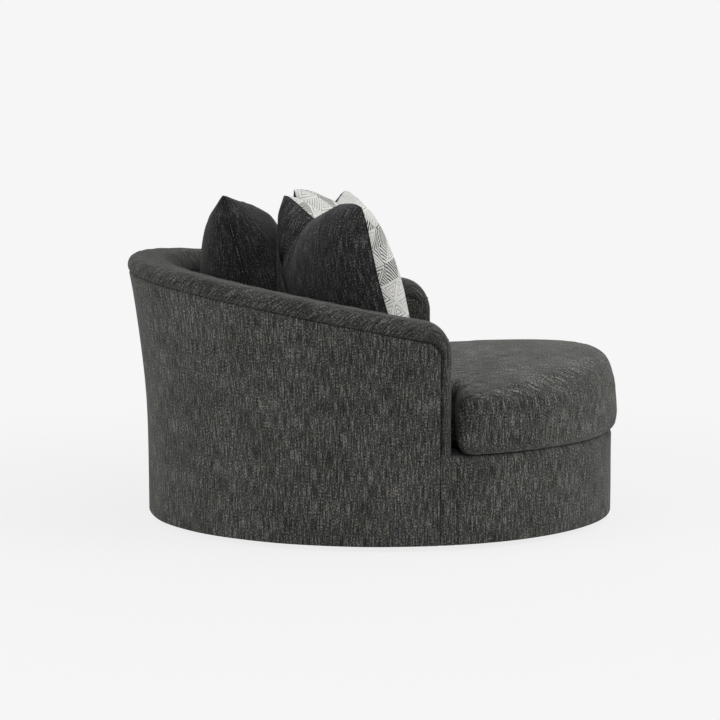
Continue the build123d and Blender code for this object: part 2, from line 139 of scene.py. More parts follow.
def slab_piece(name: str, outer: Array, inner: Array) -> Piece:
    """Make a closed panel from the grids of its two faces.

    Args:
        name: Name of the piece.
        outer: Points of the face that shows, rows by columns by three.
        inner: Points of the hidden face, as many.

    Returns:
        The new object.
    """
    rows, columns = outer.shape[:2]
    index = np.arange(rows * columns).reshape(rows, columns)
    rim = np.concatenate([index[0, :-1], index[:-1, -1], index[-1, :0:-1], index[:0:-1, 0]])
    rim = np.append(rim, rim[0])
    faces = quads(index) + quads(index[:, ::-1] + rows * columns)
    faces += quads(np.stack([rim, rim + rows * columns]))
    return mesh_piece(name, np.concatenate([outer.reshape(-1, 3), inner.reshape(-1, 3)]), faces)


def sweep_piece(name: str, sections: Array) -> Piece:
    """Make a closed body from closed sections that follow each other.

    Args:
        name: Name of the piece.
        sections: Points, sections by points of a section by three.

    Returns:
        The new object.
    """
    count, around = sections.shape[:2]
    index = np.arange(count * around).reshape(count, around)
    faces = quads(np.concatenate([index, index[:, :1]], 1))
    middles = np.stack([sections[0].mean(0), sections[-1].mean(0)])
    for ring, middle in ((index[0], count * around), (index[-1], count * around + 1)):
        faces += [(int(ring[k - 1]), int(ring[k]), middle) for k in range(around)]
    return mesh_piece(name, np.concatenate([sections.reshape(-1, 3), middles]), faces)


def set_vectors(piece: Piece, name: str, values: Array) -> None:
    """Store a vector for each vertex of a piece.

    Args:
        piece: The piece.
        name: Name of the attribute.
        values: Across the yarns and along them, in metres, one row for each vertex.
    """
    full = np.zeros((len(piece.data.vertices), 3), np.float32)
    full[: len(values), : values.shape[1]] = values
    attribute = piece.data.attributes.new(name, "FLOAT_VECTOR", "POINT")
    attribute.data.foreach_set("vector", full.ravel())


def set_numbers(piece: Piece, name: str, values: Array) -> None:
    """Store a number for each vertex of a piece."""
    attribute = piece.data.attributes.new(name, "FLOAT", "POINT")
    attribute.data.foreach_set("value", values.astype(np.float32))


def vertex_places(piece: Piece) -> Array:
    """Places of a piece's vertices, one row each.

    Args:
        piece: The piece.

    Returns:
        One row of three for each vertex.
    """
    places = np.zeros(len(piece.data.vertices) * 3, np.float32)
    piece.data.vertices.foreach_get("co", places)
    return places.reshape(-1, 3).astype(float)


def move_vertices(piece: Piece, places: Array) -> None:
    """Write new places to a piece's vertices."""
    piece.data.vertices.foreach_set("co", places.astype(np.float32).ravel())
    piece.data.update()


def smooth_step(low: float, high: float, values: Array) -> Array:
    """Share from 0 at low to 1 at high, with soft ends."""
    share = np.clip((values - low) / (high - low), 0, 1)
    return share * share * (3 - 2 * share)


def eased(count: int) -> Array:
    """Steps from 0 to 1 that lie closer together near both ends."""
    return (1 - np.cos(np.linspace(0, math.pi, count))) / 2


def rounding(distance: Array, radius: float) -> Array:
    """How far a rounded edge falls back at a distance from it."""
    inside = np.clip(radius - distance, 0, radius)
    return radius - np.sqrt(radius**2 - inside**2)


def round_points(radius: Array, angle: Array, z: Array) -> Array:
    """Points round the swivel axis, at angles from the middle of the back."""
    return np.stack([radius * np.sin(angle), radius * np.cos(angle), z], -1)


def lay_cloth(panel: Piece, across: Array, along: Array, near: Array | None = None) -> None:
    """Store on both faces of a panel how its yarns run and how near its seams are.

    Args:
        panel: A panel made by slab_piece.
        across: Lengths across the yarns, rows by columns.
        along: Lengths along the yarns.
        near: Nearness to a seam, from 0 to 1.
    """
    weave = np.stack(np.broadcast_arrays(across, along), -1).reshape(-1, 2)
    set_vectors(panel, WEAVE, np.concatenate([weave, weave]))
    if near is not None:
        set_numbers(panel, SEAM_NEAR, np.tile(near.ravel(), 2))


def lay_painted_light_and_shade(piece: Piece, lie: float) -> None:
    """Store painted light and shade for a whole piece: how much paler, above zero, or darker, below zero, it
    is drawn.
    """
    set_numbers(piece, PAINTED_LIGHT_AND_SHADE, np.full(len(piece.data.vertices), lie))


def puff(piece: Piece, pressure: float, frames: int, cap: float, pinned: Array | None = None) -> None:
    """Swell a closed cloth piece from inside and keep the result in its mesh.

    Args:
        piece: The piece; its mesh is changed.
        pressure: Pressure inside the cloth.
        frames: How many frames the swelling lasts.
        cap: The furthest that a point may move.
        pinned: For each vertex how firmly it is held, from 0 to 1.
    """
    start = vertex_places(piece)
    cloth = piece.modifiers.new("puff", "CLOTH")
    settings = cloth.settings
    settings.quality = 5
    settings.mass = 0.3
    settings.tension_stiffness = 15
    settings.compression_stiffness = 15
    settings.shear_stiffness = 5
    settings.bending_stiffness = 0.5
    settings.use_pressure = True
    settings.uniform_pressure_force = pressure
    settings.effector_weights.gravity = 0
    if pinned is not None:
        group = piece.vertex_groups.new(name="pinned")
        for number in np.flatnonzero(pinned > 0).tolist():
            group.add([number], float(pinned[number]), "REPLACE")
        settings.vertex_group_mass = group.name
    cloth.point_cache.frame_start = 1
    cloth.point_cache.frame_end = frames
    scene = bpy.context.scene
    for number in range(1, frames + 1):
        scene.frame_set(number)
    swollen = piece.evaluated_get(bpy.context.evaluated_depsgraph_get())
    moved = vertex_places(swollen) - start
    length = np.maximum(np.linalg.norm(moved, axis=1, keepdims=True), 1e-9)
    piece.modifiers.remove(cloth)
    scene.frame_set(1)
    move_vertices(piece, start + moved * np.minimum(1, cap / length))


def refine(piece: Piece) -> None:
    """Subdivide a piece once when it is drawn.

    Args:
        piece: The piece.
    """
    subdivision = piece.modifiers.new("refine", "SUBSURF")
    subdivision.levels = 1
    subdivision.render_levels = 1


# Finishes


class Shader:
    """Lays down the nodes of a material or of the world."""

    def __init__(self, owner: Cloth | bpy.types.World) -> None:
        """Take the node tree of a material or of the world.

        Args:
            owner: The material or world.
        """
        owner.use_nodes = True
        self.owner = owner
        self.tree = owner.node_tree

    def node(self, kind: str, inputs: dict, **settings: object) -> bpy.types.Node:
        """Add a node.

        Args:
            kind: Type of the node.
            inputs: Values or sockets, by the input's name or number.
            settings: Properties of the node.

        Returns:
            The node.
        """
        made = self.tree.nodes.new(kind)
        for name, value in settings.items():
            setattr(made, name, value)
        for key, value in inputs.items():
            self.feed(made.inputs[key], value)
        return made

    def feed(self, socket: Socket, value: object) -> None:
        """Set an input to a value, or link it to a socket.

        Args:
            socket: The input.
            value: A plain value, or another node's output.
        """
        if isinstance(value, Socket):
            self.tree.links.new(value, socket)
        else:
            socket.default_value = value

    def maths(self, operation: str, first: object, second: object = 0.0) -> Socket:
        """Result of a sum on two values or sockets."""
        return self.node("ShaderNodeMath", {0: first, 1: second}, operation=operation).outputs[0]

    def times(self, first: object, second: object) -> Socket:
        """Product of two values or sockets."""
        return self.maths("MULTIPLY", first, second)

    def plus(self, first: object, second: object) -> Socket:
        """Total of two values or sockets."""
        return self.maths("ADD", first, second)

    def ramp(self, value: object, span: Span, start: float = 0.0, end: float = 1.0) -> Socket:
        """Map a value softly from a span onto start to end."""
        inputs = {"Value": value, "From Min": span[0], "From Max": span[1], "To Min": start, "To Max": end}
        return self.node("ShaderNodeMapRange", inputs, interpolation_type="SMOOTHSTEP").outputs[0]

    def mix(self, share: object, first: object, second: object) -> Socket:
        """Blend two colours."""
        return self.node("ShaderNodeMix", {0: share, 6: first, 7: second}, data_type="RGBA").outputs[2]

    def blend(self, share: object, first: object, second: object) -> Socket:
        """Blend two numbers."""
        return self.node("ShaderNodeMix", {0: share, 2: first, 3: second}, data_type="FLOAT").outputs[0]

    def attribute(self, name: str, output: str = "Vector") -> Socket:
        """Output of a stored attribute."""
        return self.node("ShaderNodeAttribute", {}, attribute_name=name).outputs[output]

    def place(self) -> Socket:
        """Coordinates in the object's own frame."""
        return self.node("ShaderNodeTexCoord", {}).outputs["Object"]

    def stretched(self, vector: object, across: float, along: float, third: float = 0.0) -> Socket:
        """Coordinates scaled apart across and along the yarns."""
        inputs = {0: vector, 1: (across, along, third)}
        return self.node("ShaderNodeVectorMath", inputs, operation="MULTIPLY").outputs[0]

    def noise(
        self, vector: object, scale: float = 1.0, detail: float = 1.0, roughness: float = 0.5
    ) -> Socket:
        """Value of a noise texture."""
        inputs = {"Vector": vector, "Scale": scale, "Detail": detail, "Roughness": roughness}
        return self.node("ShaderNodeTexNoise", inputs).outputs[0]

    def surface(self, inputs: dict[str, object]) -> None:
        """Set inputs of the principled shader, by name."""
        for name, value in inputs.items():
            self.feed(self.tree.nodes["Principled BSDF"].inputs[name], value)

    def bump(self, height: object, strength: float, distance: float) -> None:
        """Raise the surface by a height."""
        inputs = {"Height": height, "Strength": strength, "Distance": distance}
        self.surface({"Normal": self.node("ShaderNodeBump", inputs).outputs[0]})


def rgba(colour: Colour, shade: float = 1.0) -> tuple[float, ...]:
    """Colour, or a darker shade of it, with full opacity."""
    return (*(shade * part for part in colour), 1.0)


@dataclass(frozen=True)
class Finish:
    """A material by its name."""

    name: str

    def make(self) -> Cloth:
        """Make the material.

        Returns:
            The new material.
        """
        shader = Shader(bpy.data.materials.new(self.name))
        self.paint(shader)
        return shader.owner

    def paint(self, shader: Shader) -> None:
        """Lay down the finish's nodes."""
        raise NotImplementedError


@dataclass(frozen=True)
class Chenille(Finish):
    """Heathered chenille: dark pile with pale slubs that run along the warp."""

    dark: Colour
    middle: Colour
    pale: Colour
    warm: Colour
    yarns_per_metre: float = 235.0
    slubs_per_metre: float = 20.0
    tufts_per_metre: float = 190.0
    tuft_fineness: float = 1.15
    slub_share: float = 0.52
    middle_pile: Span = (0.39, 0.49)
    pale_pile: Span = (0.51, 0.62)
    nap_and_painted_light: float = 0.16
    nap_patches: float = 8.0
    nap_span: Span = (0.3, 0.7)
    warm_patches: float = 34.0
    warm_span: Span = (0.45, 0.7)
    # Painted shade beside seams, and a painted highlight on the ridge of a knife edge
    beside_seam: Span = (0.80, 0.88)
    beside_shade: float = 0.40
    seam_ridge: Span = (0.945, 0.965)
    ridge_highlight: float = 4.8
    sheen: float = 0.12
    sheen_tint: Colour = (0.55, 0.56, 0.55)
    pile_depth: float = 0.0016

    def pile(self, shader: Shader, weave: object) -> Socket:
        """Height of the pile, which runs in long slubs along the yarns.

        Args:
            shader: The material's nodes.
            weave: Coordinates across and along the yarns.

        Returns:
            The height, about a half on average.
        """
        yarns = self.yarns_per_metre
        slub = shader.noise(shader.stretched(weave, yarns, self.slubs_per_metre), detail=3.0, roughness=0.6)
        tufted = shader.stretched(weave, self.tuft_fineness * yarns, self.tufts_per_metre)
        tuft = shader.noise(tufted, roughness=0.6)
        return shader.plus(shader.times(slub, self.slub_share), shader.times(tuft, 1 - self.slub_share))

    def painted_seam_shade_and_highlight(self, shader: Shader) -> Socket:
        """Painted shade and highlight near a seam: painted shade beside it, and a painted highlight on the
        ridge of a knife edge.

        Args:
            shader: The material's nodes.

        Returns:
            A factor for the colour.
        """
        near = shader.attribute(SEAM_NEAR, "Fac")
        beside = shader.ramp(near, self.beside_seam, 1.0, self.beside_shade)
        return shader.times(beside, shader.ramp(near, self.seam_ridge, 1.0, self.ridge_highlight))

    def paint(self, shader: Shader) -> None:
        """Colour the pile by its height, scale it by random nap and by painted light and shade, and paint
        shade and highlight at the seams.

        Args:
            shader: The material's nodes.
        """
        top = self.pile(shader, shader.attribute(WEAVE))
        side = self.pile(shader, shader.attribute(WEAVE_SIDE))
        pile = shader.blend(shader.attribute(SIDE_SHARE, "Fac"), top, side)
        place = shader.place()
        patches = shader.noise(place, self.nap_patches, 3.0)
        nap_and_painted_light = shader.ramp(patches, self.nap_span, 1 - self.nap_and_painted_light, 1 + self.nap_and_painted_light)
        # Painted light and shade of the piece, then painted seam shade and highlight, scale the colour
        nap_and_painted_light = shader.times(nap_and_painted_light, shader.plus(shader.attribute(PAINTED_LIGHT_AND_SHADE, "Fac"), 1.0))
        nap_and_painted_light = shader.times(nap_and_painted_light, self.painted_seam_shade_and_highlight(shader))
        warmth = shader.ramp(shader.noise(place, self.warm_patches, 2.0), self.warm_span)
        pale = shader.mix(warmth, rgba(self.pale), rgba(self.warm))
        colour = shader.mix(shader.ramp(pile, self.middle_pile), rgba(self.dark), rgba(self.middle))
        colour = shader.mix(shader.ramp(pile, self.pale_pile), colour, pale)
        scaled = shader.node("ShaderNodeVectorMath", {0: colour, "Scale": nap_and_painted_light}, operation="SCALE")
        shader.surface({"Base Color": scaled.outputs[0], "Roughness": 0.93, "Specular IOR Level": 0.15})
        shader.surface({"Sheen Weight": self.sheen, "Sheen Roughness": 0.45})
        shader.surface({"Sheen Tint": rgba(self.sheen_tint)})
        shader.bump(pile, 0.5, self.pile_depth)


@dataclass(frozen=True)
class HatchedPrint(Finish):
    """Pale cotton with a lattice of triangles, each hatched along one side or in nested triangles."""

    paper: Colour = (0.74, 0.735, 0.705)
    grey: Colour = (0.12, 0.12, 0.115)
    ink: Colour = (0.026, 0.025, 0.024)
    cell_width: float = 0.088
    cell_height: float = 0.118
    hatch_lines: float = 9.0
    nested_below: float = 0.4
    falling_above: float = 0.7
    nested_base: float = 0.7
    wobble: float = 0.035
    wobbles_per_metre: float = 90.0
    weight_draw: float = 7.3
    weight_span: Span = (0.45, 0.85)
    thin_line: float = 0.13
    thick_line: float = 0.55
    tone_draw: float = 13.7
    grey_below: float = 0.3
    threads_per_metre: float = 900.0
    thread_shade: float = 0.82

    def run(self, shader: Shader) -> tuple[Socket, Socket]:
        """Lay out the triangles and the way that each is hatched.

        Args:
            shader: The material's nodes.

        Returns:
            Place across the hatch lines, and a number that differs from triangle to triangle.
        """
        parts = shader.node("ShaderNodeSeparateXYZ", {0: shader.attribute(WEAVE)}).outputs
        wide = shader.maths("DIVIDE", parts[0], self.cell_width)
        tall = shader.maths("DIVIDE", parts[1], self.cell_height)
        rising, falling = shader.plus(wide, tall), shader.maths("SUBTRACT", wide, tall)
        rising_part, falling_part = shader.maths("FRACT", rising), shader.maths("FRACT", falling)
        upper = shader.maths("GREATER_THAN", rising_part, falling_part)
        corner = {0: shader.maths("FLOOR", rising), 1: shader.maths("FLOOR", falling), 2: upper}
        cell = {"Vector": shader.node("ShaderNodeCombineXYZ", corner).outputs[0]}
        chance = shader.node("ShaderNodeTexWhiteNoise", cell, noise_dimensions="3D").outputs["Value"]
        least = shader.maths("MINIMUM", rising_part, falling_part)
        most = shader.maths("MAXIMUM", rising_part, falling_part)
        base = shader.times(shader.maths("SUBTRACT", most, least), self.nested_base)
        sides = shader.maths("MINIMUM", least, shader.maths("SUBTRACT", 1.0, most))
        nested = shader.maths("MINIMUM", sides, base)
        straight = shader.blend(shader.maths("GREATER_THAN", chance, self.falling_above), rising, falling)
        hatched = shader.maths("GREATER_THAN", chance, self.nested_below)
        return shader.blend(hatched, nested, straight), chance

    def paint(self, shader: Shader) -> None:
        """Draw the hatch lines on the cloth, each triangle in its own weight and tone.

        Args:
            shader: The material's nodes.
        """
        run, chance = self.run(shader)
        weave = shader.attribute(WEAVE)
        wobble = shader.times(shader.noise(weave, self.wobbles_per_metre, 2.0), self.wobble)
        stripe = shader.maths("FRACT", shader.times(shader.plus(run, wobble), self.hatch_lines))
        weight_chance = shader.maths("FRACT", shader.times(chance, self.weight_draw))
        weight = shader.ramp(weight_chance, self.weight_span, self.thin_line, self.thick_line)
        line = shader.maths("LESS_THAN", stripe, weight)
        tone_chance = shader.maths("FRACT", shader.times(chance, self.tone_draw))
        tone = shader.maths("GREATER_THAN", tone_chance, self.grey_below)
        threads = shader.noise(shader.stretched(weave, self.threads_per_metre, self.threads_per_metre))
        shaded = rgba(self.paper, self.thread_shade)
        paper = shader.mix(shader.ramp(threads, (0.3, 0.75)), shaded, rgba(self.paper))
        colour = shader.mix(line, paper, shader.mix(tone, rgba(self.grey), rgba(self.ink)))
        shader.surface({"Base Color": colour, "Roughness": 0.88})
        shader.surface({"Specular IOR Level": 0.2, "Sheen Weight": 0.1})
        shader.bump(shader.plus(threads, shader.times(line, 0.5)), 0.35, 0.0006)


@dataclass(frozen=True)
class PlainCloth(Finish):
    """Thin woven cloth for places that are covered."""

    colour: Colour
    threads_per_metre: float = 700.0
    slubs_per_metre: float = 40.0
    deep_shade: float = 0.6

    def paint(self, shader: Shader) -> None:
        """Cross two sets of threads.

        Args:
            shader: The material's nodes.
        """
        place, fine, slow = shader.place(), self.threads_per_metre, self.slubs_per_metre
        warp = shader.noise(shader.stretched(place, fine, slow, slow))
        weft = shader.noise(shader.stretched(place, slow, fine, slow))
        threads = shader.times(shader.plus(warp, weft), 0.5)
        share = shader.ramp(threads, (0.35, 0.65))
        colour = shader.mix(share, rgba(self.colour, self.deep_shade), rgba(self.colour))
        shader.surface({"Base Color": colour, "Roughness": 0.9})
        shader.bump(threads, 0.4, 0.0005)


@dataclass(frozen=True)
class Plywood(Finish):
    """Birch plywood with long grain and a few darker figures."""

    pale: Colour = (0.56, 0.40, 0.24)
    dark: Colour = (0.36, 0.22, 0.115)
    grain_scale: Point = (6.0, 160.0, 330.0)
    figure_scale: Point = (2.0, 14.0, 14.0)
    figure_share: float = 0.5

    def paint(self, shader: Shader) -> None:
        """Lay fine grain over a broad figure.

        Args:
            shader: The material's nodes.
        """
        place = shader.place()
        grain = shader.noise(shader.stretched(place, *self.grain_scale), detail=4.0, roughness=0.65)
        figure = shader.noise(shader.stretched(place, *self.figure_scale), detail=2.0)
        share = shader.ramp(shader.plus(grain, shader.times(figure, self.figure_share)), (0.5, 1.0))
        colour = shader.mix(share, rgba(self.pale), rgba(self.dark))
        shader.surface({"Base Color": colour, "Roughness": shader.ramp(grain, (0.2, 0.8), 0.5, 0.72)})
        shader.bump(grain, 0.25, 0.0006)


@dataclass(frozen=True)
class Metal(Finish):
    """Metal, bare or under a coat of powder paint."""

    colour: Colour
    metallic: float
    roughness: float
    speckle: float
    bump: float = 0.0003
    wear_patches: float = 14.0
    worn_shade: float = 0.72

    def paint(self, shader: Shader) -> None:
        """Speckle the surface, and darken patches that are a little worn.

        Args:
            shader: The material's nodes.
        """
        place = shader.place()
        fine = shader.noise(place, self.speckle, 2.0)
        wear = shader.ramp(shader.noise(place, self.wear_patches, 4.0), (0.3, 0.75))
        colour = shader.mix(wear, rgba(self.colour, self.worn_shade), rgba(self.colour))
        roughness = shader.ramp(fine, (0.3, 0.7), self.roughness - 0.08, self.roughness + 0.1)
        shader.surface({"Base Color": colour, "Metallic": self.metallic, "Roughness": roughness})
        shader.bump(fine, 0.3, self.bump)


CHARCOAL = Chenille(
    "charcoal_chenille",
    dark=(0.011, 0.011, 0.0108),
    middle=(0.049, 0.0495, 0.047),
    pale=(0.200, 0.202, 0.191),
    warm=(0.207, 0.195, 0.152),
)
# Darker than the wall's chenille: partly a darker cloth, partly painted shade for the pillows
PILLOW_CHARCOAL = Chenille(
    "pillow_chenille",
    dark=(0.007, 0.007, 0.0073),
    middle=(0.025, 0.025, 0.0255),
    pale=(0.118, 0.119, 0.117),
    warm=(0.116, 0.112, 0.101),
)
HATCHED = HatchedPrint("pillow_print")
DECK_CLOTH = PlainCloth("deck_cloth", (0.045, 0.045, 0.046))
DUST_CLOTH = PlainCloth("dust_cloth", (0.016, 0.016, 0.017), 420.0)
FRAME_FINISHES = {
    "plywood": Plywood("plywood"),
    "black_steel": Metal("black_steel", (0.014, 0.014, 0.015), 0.0, 0.48, 900.0),
    "zinc_steel": Metal("zinc_steel", (0.56, 0.57, 0.57), 1.0, 0.34, 500.0, 0.0001),
    "spring_steel": Metal("spring_steel", (0.24, 0.24, 0.25), 1.0, 0.40, 700.0, 0.0001),
    "bearing_steel": Metal("bearing_steel", (0.66, 0.66, 0.67), 1.0, 0.16, 300.0, 0.00002),
    "nylon": Metal("nylon", (0.030, 0.030, 0.031), 0.0, 0.42, 400.0, 0.0001),
}


# Upholstered shell


@dataclass(frozen=True)
class WallForm:
    """Shape of the upholstered wall, which its covers share."""

    base_radius: float = 0.716
    hem: float = 0.015
    hem_roll: float = 0.009
    flare_start: float = 0.150
    flare_radius: float = 3.270
    thickness: float = 0.150
    arm_front: float = -0.184
    front_depth: float = 0.029
    crest_front: float = 0.651
    crest_back: float = 0.827
    crest_reach: float = 0.850
    crest_bow: float = 0.0114
    arm_corner: float = 0.096
    roll_depth: float = 0.052
    roll_radius: float = 0.046
    deck: float = 0.277
    seam_corner: float = 0.040
    seam_sink: float = 0.0058
    seam_width: float = 0.0038
    seam_tuck: float = 0.7
    tuck_depth: float = 0.002
    overlap: float = 0.010
    rounds: int = 8
    inside_share: float = 0.35

    @property
    def seam_y(self) -> float:
        """Where the arm fronts are sewn to the outside cover."""
        return self.arm_front + self.front_depth

    def radius(self, z: Array) -> Array:
        """Radius of the wall's outside at a height."""
        lean = np.maximum(z - self.flare_start, 0)
        return self.base_radius + self.flare_radius - np.sqrt(self.flare_radius**2 - lean**2)

    def crest(self, y: Array) -> Array:
        """Height of the rail's crest, an arc seen from the side.

        Args:
            y: Places from front to back.

        Returns:
            The height at each place.
        """
        run, rise = self.crest_reach - self.arm_front, self.crest_back - self.crest_front
        chord = math.hypot(run, rise)
        arc = (chord**2 / 4 + self.crest_bow**2) / (2 * self.crest_bow)
        drop = arc - self.crest_bow
        middle_y = (self.crest_reach + self.arm_front) / 2 + drop * rise / chord
        middle_z = (self.crest_back + self.crest_front) / 2 - drop * run / chord
        return middle_z + np.sqrt(arc**2 - (y - middle_y) ** 2)

    def edge_angle(self, radius: Array) -> Array:
        """Angle from the middle of the back to a cover's front edge, which lies under the arm front."""
        return np.arccos((self.seam_y - self.overlap) / radius)

    def edge_height(self, inset: float, share: Array) -> Array:
        """Height of a cover's top edge, which lies under the roll.

        Args:
            inset: How far the cover lies in from the wall's outside.
            share: Places round the cover, from -1 to 1.

        Returns:
            The height at each place.
        """
        top = np.full(share.shape, self.crest_front)
        for _ in range(self.rounds):
            radius = self.radius(top) - inset
            y = radius * np.cos(share * self.edge_angle(radius))
            top = self.crest(y) - self.roll_depth + self.overlap
        return top

    def groove(self, distance: Array) -> Array:
        """How far cloth is drawn in at a distance from its seam, and beyond it.

        Args:
            distance: Distance from the seam, below zero beyond it.

        Returns:
            Depth of the groove there.
        """
        beyond = np.minimum(self.seam_tuck * np.maximum(-distance, 0), self.tuck_depth)
        beside = np.maximum(distance, 0) / self.seam_width
        return self.seam_sink * np.exp(-(beside**2)) + beyond

    def seam_distance(self, y: Array, z: Array) -> Array:
        """Distance of a point on the wall from the seam along the arm front and under the roll.

        Args:
            y: Places from front to back.
            z: Heights.

        Returns:
            The distance, below zero beyond the seam.
        """
        front, top = y - self.seam_y, self.crest(y) - self.roll_depth - z
        corner = self.seam_corner
        turned = corner - np.hypot(np.maximum(corner - front, 0), np.maximum(corner - top, 0))
        return np.where((front < corner) & (top < corner), turned, np.minimum(front, top))


@dataclass
class OuterCover:
    """Outside of the back and arms, from the hem to the seam under the roll."""

    form: WallForm
    thickness: float = 0.007
    rows: int = 130
    columns: int = 420
    unevenness: float = 0.0013
    taut: float = 0.08
    seam_line: float = 0.90

    def build(self) -> Piece:
        """Make the cover's mesh.

        Returns:
            The cover.
        """
        form = self.form
        share = 2 * eased(self.columns) - 1
        top = form.edge_height(0.0, share)
        z = form.hem + eased(self.rows)[:, None] * (top - form.hem)
        radius = form.radius(z)
        angle = share * form.edge_angle(radius)
        away = form.seam_distance(radius * np.cos(angle), z)
        # Slow waves round and up the cover
        wave = np.sin(5 * angle + 6 * z) * np.sin(11 * z + 2 * angle) + 0.6 * np.sin(17 * angle + 1.7)
        radius = radius - form.groove(away) - rounding(z - form.hem, form.hem_roll)
        radius = radius + self.unevenness * wave * smooth_step(0, self.taut, away)
        outer, inner = (round_points(radius - depth, angle, z) for depth in (0.0, self.thickness))
        cover = slab_piece("outer_cover_cloth", outer, inner)
        # Nearness to the seam, which places the painted seam shade
        near = np.maximum(self.seam_line - np.abs(away) / SEAM_REACH, 0)
        lay_cloth(cover, angle * form.base_radius, z, near)
        return cover

    def dress(self, cover: Piece, cloth: Cloth) -> None:
        """Cover the mesh in cloth and tie it to the chair."""
        dress_soft(cover, cloth, Body.CHAIR, Slot.CHENILLE, "outer_cover")


@dataclass
class FrontBand:
    """Round front of the base, turned in over the deck."""

    form: WallForm
    thickness: float = 0.007
    lip: float = 0.109
    edge: float = 0.022
    wall_rows: int = 60
    edge_rows: int = 14
    lip_rows: int = 20
    columns: int = 300
    unevenness: float = 0.0012
    panel_seam: float = -0.203
    panel_sink: float = 0.6
    end_sink: float = 0.4
    seam_line: float = 0.88
    weave_start: float = 3.1

    def section(self) -> tuple[Array, Array, Array, Array]:
        """Line from the hem up the front and in over the deck.

        Returns:
            Inset from the wall's outside, height, and the two parts of the outward direction.
        """
        form = self.form
        turn = np.linspace(0, math.pi / 2, self.edge_rows)
        wall_z = form.hem + eased(self.wall_rows)[:-1] * (form.deck - self.edge - form.hem)
        lip_inset = self.edge + np.linspace(0, 1, self.lip_rows)[1:] * (self.lip - self.edge)
        flat = np.full(self.lip_rows - 1, form.deck)
        inset = np.concatenate([0 * wall_z, self.edge * (1 - np.cos(turn)), lip_inset])
        z = np.concatenate([wall_z, form.deck - self.edge * (1 - np.sin(turn)), flat])
        outward = np.concatenate([1 + 0 * wall_z, np.cos(turn), 0 * flat])
        upward = np.concatenate([0 * wall_z, np.sin(turn), 1 + 0 * flat])
        return inset, z, outward, upward

    def build(self) -> Piece:
        """Make the band's mesh.

        Returns:
            The band.
        """
        form = self.form
        inset, z, outward, upward = (values[:, None] for values in self.section())
        share = (2 * eased(self.columns) - 1)[None, :]
        radius = form.radius(z) - inset
        end = math.pi - np.arccos(form.seam_y / radius)
        angle = share * end
        beside = np.abs(np.abs(angle) - math.pi + np.arccos(self.panel_seam / radius)) * radius
        upright = outward == 1
        sink = self.end_sink * form.groove((1 - np.abs(share)) * end * radius)
        sink = sink + self.panel_sink * form.groove(beside) * upright
        sink = sink + rounding(z - form.hem, form.hem_roll) * (inset == 0)
        # Slow waves round and up the band
        wave = np.sin(7 * angle + 9 * z) + 0.7 * np.sin(19 * angle + 0.8) * np.sin(13 * z)
        swell = self.unevenness * wave - sink
        across = radius + outward * swell
        height = z + upward * swell + 0 * angle
        back = radius + outward * (swell - self.thickness)
        inner = round_points(-back, angle, height - upward * self.thickness)
        band = slab_piece("front_band_cloth", round_points(-across, angle, height), inner)
        # Nearness to the panel seam, which places the painted seam shade
        near = np.maximum(self.seam_line - beside / SEAM_REACH, 0) * upright
        lay_cloth(band, angle * form.base_radius + self.weave_start, z + inset, near)
        return band

    def dress(self, band: Piece, cloth: Cloth) -> None:
        """Cover the mesh in cloth and tie it to the chair."""
        dress_soft(band, cloth, Body.CHAIR, Slot.CHENILLE, "front_band")


